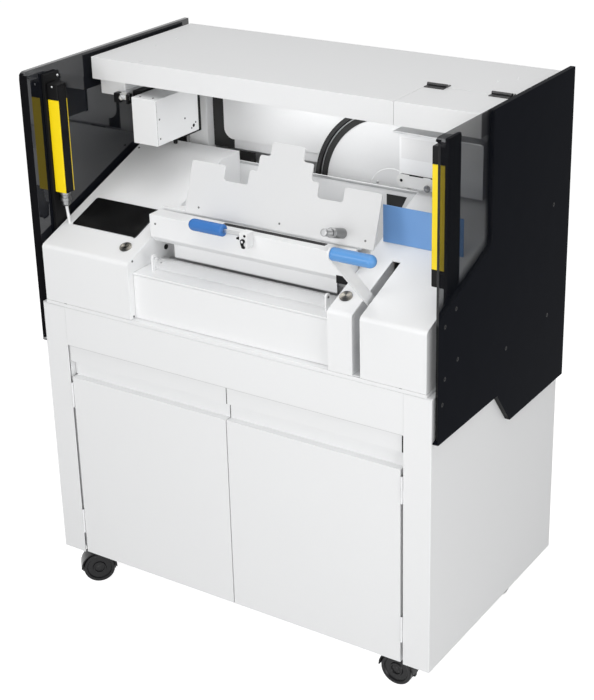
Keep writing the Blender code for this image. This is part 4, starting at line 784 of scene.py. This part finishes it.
# ---- Head: a white sheet-metal box on a carriage, which runs on a short steel rail under
# the cover. Cross-head screws hold its side, and it stands on a black foot.
carry_over("rail_bracket", "rail_hanger", "frame", [white_paint], 0.0010)
shape = merged("head_rail")
rail_low, rail_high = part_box("head_rail")
carriage_low, carriage_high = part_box("head_carriage")
soften(shape, 0.0010, 2)
for step in range(6):
    y = rail_low.y + 0.020 + step * (rail_high.y - rail_low.y - 0.040) / 5
    if carriage_low.y - 0.004 < y < carriage_high.y + 0.104:
        continue
    screw(shape, (rail_high.x, y, (rail_low.z + rail_high.z) / 2), (1, 0, 0), 0.0024)
for start, stop in ((-0.018, -0.003), (0.0165, 0.0225)):
    block(shape, (rail_low.x + start, rail_low.y - 0.0050, rail_low.z - 0.010),
          (rail_low.x + stop, rail_low.y + 0.0100, rail_high.z - 0.003), 1, 0.0008)
block(shape, (rail_low.x - 0.018, rail_low.y - 0.0010, rail_low.z - 0.0020),
      (rail_high.x + 0.0078, rail_low.y + 0.0006, rail_high.z - 0.003), 0, 0.0004)
lathe(shape, [(0.0, 0.004), (0.0022, 0.004), (0.0028, 0.006), (0.0050, 0.006), (0.0056, 0.005),
              (0.0056, 0.0), (0.0, 0.0)],
      (rail_low.x + 0.003, rail_low.y - 0.0008, rail_low.z + 0.003), (0, -1, 0), 20)
piece("linear_rail", shape, "frame", [ground_steel, black_plastic],
      ["head_rail"])
carry_over("head_carriage", "rail_carriage", "head", [black_plastic], 0.0012)
head_low, head_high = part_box("print_head")
shape = merged("print_head")
box_bottom = head_low.z + 0.014
paint_where(shape, 1, lambda at, face: at.z < box_bottom - 0.0005)
soften(shape, 0.0012, 2, lambda edge: edge.calc_length() > 0.03)
for y, z in ((0.011, 0.060), (0.011, 0.0155), (0.103, 0.0395), (0.126, 0.011), (0.142, 0.021),
             (0.132, 0.098)):
    screw(shape, (head_high.x, head_low.y + y, box_bottom + z), (1, 0, 0), 0.0022, 2)
for x, y in ((0.016, 0.012), (0.050, 0.014), (0.016, 0.120), (0.050, 0.120)):
    screw(shape, (head_low.x + x, head_low.y + y, head_high.z), (0, 0, 1), 0.0026, 2)
lathe(shape, [(0.0, 0.0003), (0.0036, 0.0003), (0.0042, 0.0), (0.0042, -0.001), (0.0, -0.001)],
      (head_high.x, head_low.y + 0.1345, box_bottom + 0.0150), (1, 0, 0), 18, 1)
edge_x, foot_z, foot_y = head_high.x - 0.0002, box_bottom - 0.0035, head_high.y + 0.0095
block(shape, (head_low.x + 0.004, head_high.y - 0.0004, foot_z),
      (edge_x, foot_y, head_high.z - 0.002), 1, 0.0008)
block(shape, (edge_x - 0.006, head_low.y + 0.092, foot_z),
      (edge_x, foot_y, box_bottom + 0.0004), 1, 0.0008)
block(shape, (head_high.x - 0.002, head_low.y + 0.0022, box_bottom + 0.003),
      (head_high.x + 0.0001, head_low.y + 0.0027, head_high.z - 0.003), 1)
piece("head_case", shape, "head", [white_paint, black_plastic, screw_steel],
      ["print_head"])

# ---- Back of the machine: a stout beam, the inner panel welded between two columns with a
# rubber seal down its left edge, and the rear wall, all painted. A black block under the panel's lower left corner
# is painted shade in the gap below it. The beam's top edge is bare.
rubber = moulded("black_rubber", (0.012, 0.012, 0.012), 0.70, 0.00012)
for node, name in (("rear_beam", "cross_beam"), ("rear_wall", "rear_skin"),
                   ("rear_frame", "inner_panel_frame")):
    carry_over(node, name, "frame", [white_paint], 0.0012, 2,
               lambda edge: edge.calc_length() > 0.03)
beam_low, beam_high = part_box("rear_beam")
shape = bmesh.new()
block(shape, (-0.245, beam_low.y - 0.0012, beam_high.z - 0.0022),
      (0.232, beam_low.y + 0.0040, beam_high.z + 0.0016), 0, 0.0004)
piece("beam_edge_strip", shape, "frame", [steel])
shape = bmesh.new()
outline = [(0.1500, deck + 0.2020), (0.1880, deck + 0.2020), (0.2010, deck + 0.2285),
           (0.1500, deck + 0.2285)]
plate(shape, outline, "Y", beam_low.y - 0.0006, beam_low.y + 0.0004)
piece("beam_slot_liner", shape, "frame", [rubber])
panel_face = front + 0.500
shape = bmesh.new()
# The first block is the seal; the second stands in the gap under the panel, as painted shade.
for low_x, high_x, low_z, high_z in ((-0.3668, -0.3080, 0.2462, 0.506),
                                     (-0.2940, -0.2480, 0.2120, 0.2430)):
    block(shape, (low_x, panel_face - 0.0020, deck + low_z),
          (high_x, panel_face + 0.0004, deck + high_z), 0, 0.0008)
piece("panel_seal_and_painted_gap_shade", shape, "frame", [rubber])
shape = bmesh.new()
outline = [(-0.336, deck + 0.505), (-0.336, deck + 0.296)]
for step in range(7):
    turn = math.radians(180 + 90 * step / 6)
    outline.append((-0.308 + 0.028 * math.cos(turn), deck + 0.296 + 0.028 * math.sin(turn)))
outline += [(0.440, deck + 0.268), (0.440, deck + 0.505)]
plate(shape, outline, "Y", panel_face - 0.0026, panel_face + 0.0004)
soften(shape, 0.0008, 2, lambda edge: edge.calc_length() > 0.05)
piece("inner_panel_skin", shape, "frame", [white_paint])

# ---- Supply reel: a black rubber-faced rim round a white disc, with a raised hub.
rim_low, rim_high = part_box("reel_rim")
reel_x, reel_z = (rim_low.x + rim_high.x) / 2, (rim_low.z + rim_high.z) / 2
reel_radius = (rim_high.x - rim_low.x) / 2
shape = bmesh.new()
rim_profile = [
    (reel_radius - 0.0100, 0.040), (reel_radius - 0.0010, 0.040), (reel_radius, 0.039),
    (reel_radius, 0.0012), (reel_radius - 0.0010, 0.0002), (reel_radius - 0.0094, 0.0002),
    (reel_radius - 0.0100, 0.0010), (reel_radius - 0.0100, 0.040),
]
lathe(shape, rim_profile, (reel_x, rim_low.y, reel_z), (0, 1, 0), 96)
piece("reel_tyre", shape, "reel", [rubber], ["reel_rim"])
disc_low, disc_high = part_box("reel_disc")
disc_radius = (disc_high.x - disc_low.x) / 2
deep = disc_high.y - disc_low.y
shape = bmesh.new()
lathe(shape, [(0.0, deep), (0.030, deep), (0.030, 0.006), (disc_radius, 0.006),
              (disc_radius, 0.0004), (disc_radius - 0.0004, 0.0), (0.1722, 0.0),
              (0.1722, 0.0012), (0.060, 0.0012), (0.0585, 0.0), (0.0, 0.0)],
      (reel_x, disc_low.y, reel_z), (0, 1, 0), 96)
paint_where(shape, 1, lambda at, face: at.y < disc_low.y + 0.0055
            and math.hypot(at.x - reel_x, at.z - reel_z) > 0.1721)
lathe(shape, [(0.1862, 0.0002), (0.1862, -0.0008), (0.1880, -0.0010), (0.1888, -0.0006),
              (0.1888, 0.0002)], (reel_x, disc_low.y, reel_z), (0, 1, 0), 96, 2)
for step in range(3):
    turn = math.radians(30 + 120 * step)
    spot = (reel_x + 0.045 * math.cos(turn), disc_low.y, reel_z + 0.045 * math.sin(turn))
    screw(shape, spot, (0, -1, 0), 0.0035, 2)
# The disc takes the darker copy of the white paint: painted shade.
piece("reel_flange", shape, "reel", [shade_painted_white, rubber, steel], ["reel_disc"])

# ---- Label module: a white box with a thin steel lid, hung from the cover, and a swing
# latch with a thumb screw across its foot. Its label plate is left bare.
module_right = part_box("label_module")[1].x
shape = merged("label_module")
lid_z = deck + 0.399
paint_where(shape, 1, lambda at, face: lid_z - 0.001 < at.z < lid_z + 0.0036
            and at.x < module_right)
soften(shape, 0.0010, 2, lambda edge: edge.calc_length() > 0.05)
piece("module_case", shape, "frame", [white_paint, steel], ["label_module"])
latch_low, latch_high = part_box("module_latch")
case_left, case_front = latch_low.x, latch_high.y
paper = Finish("label_plate", specular_ior_level=0.3)
fibre = paper.noise(420.0, 3.0)
paper.set(base_color=paper.between(fibre, grey(0.70), grey(0.74)), roughness=0.5 + 0.1 * fibre)
shape = bmesh.new()
block(shape, (case_left + 0.010, case_front - 0.0002, deck + 0.342),
      (case_left + 0.118, case_front + 0.0008, deck + 0.388))
piece("module_label", shape, "frame", [paper])
latch_zinc = moulded("pale_zinc", (0.66, 0.66, 0.65), 0.35)
shape = merged("module_latch")
paint_where(shape, 2, lambda at, face: at.x < latch_low.x + 0.004 or at.z < latch_low.z + 0.0006
            or at.z > latch_high.z - 0.0006)
for vert in shape.verts:
    if vert.co.y > latch_high.y - 0.0001:
        vert.co.y -= 0.0006
soften(shape, 0.0005, 1, lambda edge: edge.calc_length() > 0.02)
knob = Vector((0.2957, latch_low.y, latch_low.z + 0.0085))
lathe(shape, [(0.0, 0.0012), (0.0030, 0.0012), (0.0036, 0.0), (0.0070, 0.0002), (0.0078, 0.0012),
              (0.0078, 0.0022), (0.0, 0.0022)], knob, (0, 1, 0), 24, 1)
screw(shape, (latch_low.x + 0.012, latch_high.y - 0.0040, (latch_low.z + latch_high.z) / 2),
      (0, -1, 0), 0.0034, 2)
latch_body = next(name for name, nodes in frame["record"]["behaviour"]["bodies"].items()
                  if "module_latch" in nodes)
for low_x, high_x in ((0.2486, 0.2823), (0.3000, 0.3110)):
    block(shape, (low_x, latch_high.y - 0.0046, latch_high.z - 0.0022),
          (high_x, latch_high.y - 0.0036, latch_high.z - 0.0002), 2)
piece("latch_plate", shape, latch_body, [latch_zinc, satin_steel, black_plastic],
      ["module_latch"])

# ---- Top cover and hatch: two folded steel trays, powder-coated white, joined by a pair of
# black leaf hinges. The moving leaves are the hatch's; flush screws hold the cover down.
cover_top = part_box("top_cover")[0].z + 0.050
hinge_black = moulded("black_hinge_enamel", (0.010, 0.010, 0.011), 0.30)
hatch_low, hatch_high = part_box("hatch_lid")
for node, name, body, leaf in (("top_cover", "cover_tray", "frame", 0.0115),
                               ("hatch_lid", "hatch_tray", "hatch", -0.0115)):
    shape = merged(node)
    paint_where(shape, 1, lambda at, face: at.z > cover_top + 0.0004)
    soften(shape, 0.0014, 3, lambda edge: edge.calc_length() > 0.06)
    for inset in (0.024, 0.171):
        for dx in (-0.013, 0.013):
            screw(shape, (hatch_low.x + inset + dx, hatch_high.y + leaf, cover_top + 0.002),
                  (0, 0, 1), 0.0022, 1)
    piece(name, shape, body, [white_paint, hinge_black], [node])
shape = bmesh.new()
for x, back in ((-0.4235, 0.367), (-0.4227, 0.4447), (-0.359, 0.2306), (0.4067, 0.4487),
                (0.434, 0.484)):
    lathe(shape, [(0.0, 0.0002), (0.0014, 0.0002), (0.0018, 0.0007), (0.0030, 0.0006),
                  (0.0036, 0.0001), (0.0036, -0.0004), (0.0, -0.0004)],
          (x, front + back, cover_top), (0, 0, 1), 16)
piece("cover_screws", shape, "frame", [trough_steel])


# ---- Side shields: 12 mm smoked acrylic, polished, with rounded corners, screwed to the
# machine's sides. The front of the right one lets the light curtain show through; elsewhere both are made near
# opaque, painted shade for the dark gap behind them.
def smoked_acrylic(name, clearness, refraction, clear_until):
    """Smoke-tinted acrylic: see-through above the slope as far back as clear_until; elsewhere near opaque and
    dark, which is painted shade for the shadowed gap behind the shield.
    """
    made = Finish(name, ior=refraction)
    place = made.node("ShaderNodeTexCoord", {}, {}, "Object")
    back = made.node("ShaderNodeSeparateXYZ", {}, {"Vector": place}, "Y") - front
    height = made.node("ShaderNodeSeparateXYZ", {}, {"Vector": place}, "Z") - (deck + cowl_front)
    dust = made.noise(24.0, 4.0)
    scratch = made.noise(210.0, 2.0, (1.0, 0.15, 1.0))
    open_part = (made.band(height - back * math.tan(slope), 0.024, 0.050)
                 * (1.0 - made.band(back, clear_until - 0.004, clear_until + 0.012)))
    made.set(base_color=made.between(dust, (0.0035, 0.0045, 0.0075, 1.0),
                                     (0.0055, 0.0065, 0.0100, 1.0)),
             roughness=0.020 + 0.04 * dust + 0.05 * made.band(scratch, 0.6, 0.9),
             alpha=0.998 - clearness * open_part)
    return made


dark_edge = moulded("polished_dark_edge", (0.004, 0.004, 0.005), 0.25)
dark_edge.set(specular_ior_level=0.02)
for word, side, clearness, refraction, clear_until in (("left", -1, 0.015, 1.80, 9.0),
                                                       ("right", 1, 0.50, 1.04, 0.212)):
    shape = merged("shield_" + word)
    for vert in shape.verts:
        if vert.co.y < front + 0.001 and vert.co.z > deck - 0.15:
            vert.co.y += 0.002 if abs(vert.co.x) > 0.506 else 0.014
    shape.normal_update()
    paint_where(shape, 1, lambda at, face: face.normal.y < -0.5)
    soften(shape, 0.0008, 2, lambda edge: True)
    smoke = smoked_acrylic("smoked_acrylic_" + word, clearness, refraction, clear_until)
    piece("smoked_panel_" + word, shape, "frame", [smoke, dark_edge],
          ["shield_" + word])
    low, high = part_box("shield_" + word)
    face_x = high.x if side > 0 else low.x
    shape = bmesh.new()
    for back, height in ((0.512, 0.886), (0.4995, 0.635), (0.2986, 0.634), (0.0818, 0.696),
                         (0.028, 0.785), (0.029, 0.674), (0.020, 0.622), (0.0725, 0.807)):
        lathe(shape, [(0.0, -0.0003), (0.0016, -0.0003), (0.0020, 0.0003), (0.0040, 0.0003),
                      (0.0046, 0.0001), (0.0046, -0.0009), (0.0, -0.0009)],
              (face_x, front + back, height + 0.1003), (side, 0, 0), 16)
    piece("shield_screws_" + word, shape, "frame", [black_plastic])

# ---- Light curtains: yellow aluminium bars with black end caps and a dark window along the
# inward side, screwed to a black strap on each shield. A cable leaves the left one's foot.
yellow = moulded("yellow_enamel", (0.930, 0.690, 0.003), 0.36, 0.00004)
window = Finish("curtain_window", base_color=(0.004, 0.004, 0.005, 1.0), ior=1.2)
window_haze = window.noise(60.0, 2.0)
window.set(roughness=0.08 + 0.10 * window_haze)
for word, side in (("left", -1), ("right", 1)):
    node = "light_curtain_" + word
    strap_x, inner_x = side * 0.4913, side * 0.4613
    bar_low_y, bar_high_y = front + 0.064, front + 0.094
    foot, head = deck + 0.236, deck + 0.448
    in_x, out_x = sorted((inner_x, strap_x))
    shape = bmesh.new()
    block(shape, (in_x + 0.0002, bar_low_y, foot), (out_x - 0.0002, bar_high_y, head), 0, 0.0012)
    ends = ((foot - 0.0365, foot - 0.0002), (head + 0.0002, head + 0.0365))
    for start, stop in ends if side > 0 else ends[1:]:
        block(shape, (in_x, bar_low_y - 0.0002, start),
              (out_x, bar_high_y + 0.0002, stop), 1, 0.0022)
    strip_x = sorted((inner_x, inner_x + side * 0.0012))
    strip_x = (strip_x[0] - 0.0007, strip_x[1]) if side > 0 else (strip_x[0], strip_x[1] + 0.0007)
    window_foot = foot - 0.034 if side > 0 else foot
    block(shape, (strip_x[0], bar_low_y + 0.0020, window_foot),
          (strip_x[1], bar_high_y - 0.0035, head + 0.034), 2, 0.0004)
    screw(shape, ((in_x + out_x) / 2, bar_low_y - 0.0002, head + 0.030), (0, -1, 0), 0.0024, 3)
    strap = sorted((side * 0.4916, side * 0.4997))
    block(shape, (strap[0], front + 0.058, deck + 0.064),
          (strap[1], front + 0.108, deck + 0.504), 1, 0.0010)
    for z in (deck + 0.085, deck + 0.170, deck + 0.330, deck + 0.494):
        screw(shape, (side * 0.4916, front + 0.102, z), (-side, 0, 0), 0.0030, 3)
    piece("curtain_bar_" + word, shape, "frame",
          [yellow, black_plastic, window, steel], [node])
middle_x, middle_y = -0.4763, front + 0.079
shape = bmesh.new()
lathe(shape, [(0.0, 0.0), (0.0125, 0.0), (0.0125, 0.0060), (0.0105, 0.0075), (0.0105, 0.0130),
              (0.0120, 0.0140), (0.0120, 0.0210), (0.0095, 0.0225), (0.0095, 0.0300),
              (0.0060, 0.0340), (0.0, 0.0340)],
      (middle_x, middle_y, deck + 0.2358), (0, 0, -1), 24)
lathe(shape, [(0.0, 0.0), (0.0034, 0.0), (0.0034, 0.0420), (0.0, 0.0420)],
      (middle_x, middle_y, deck + 0.2020), (0.10, 0.04, -1), 16, 1)
piece("cable_connector", shape, "frame", [satin_steel, white_paint])

# ---- Services: the control box with the electronics on the cabinet's floor, and the mains
# inlet at the back. Both are closed black cases.
carry_over("control_box", "control_case", "frame", [black_plastic], 0.0015)
carry_over("mains_inlet", "inlet_frame", "frame", [black_plastic], 0.0008)
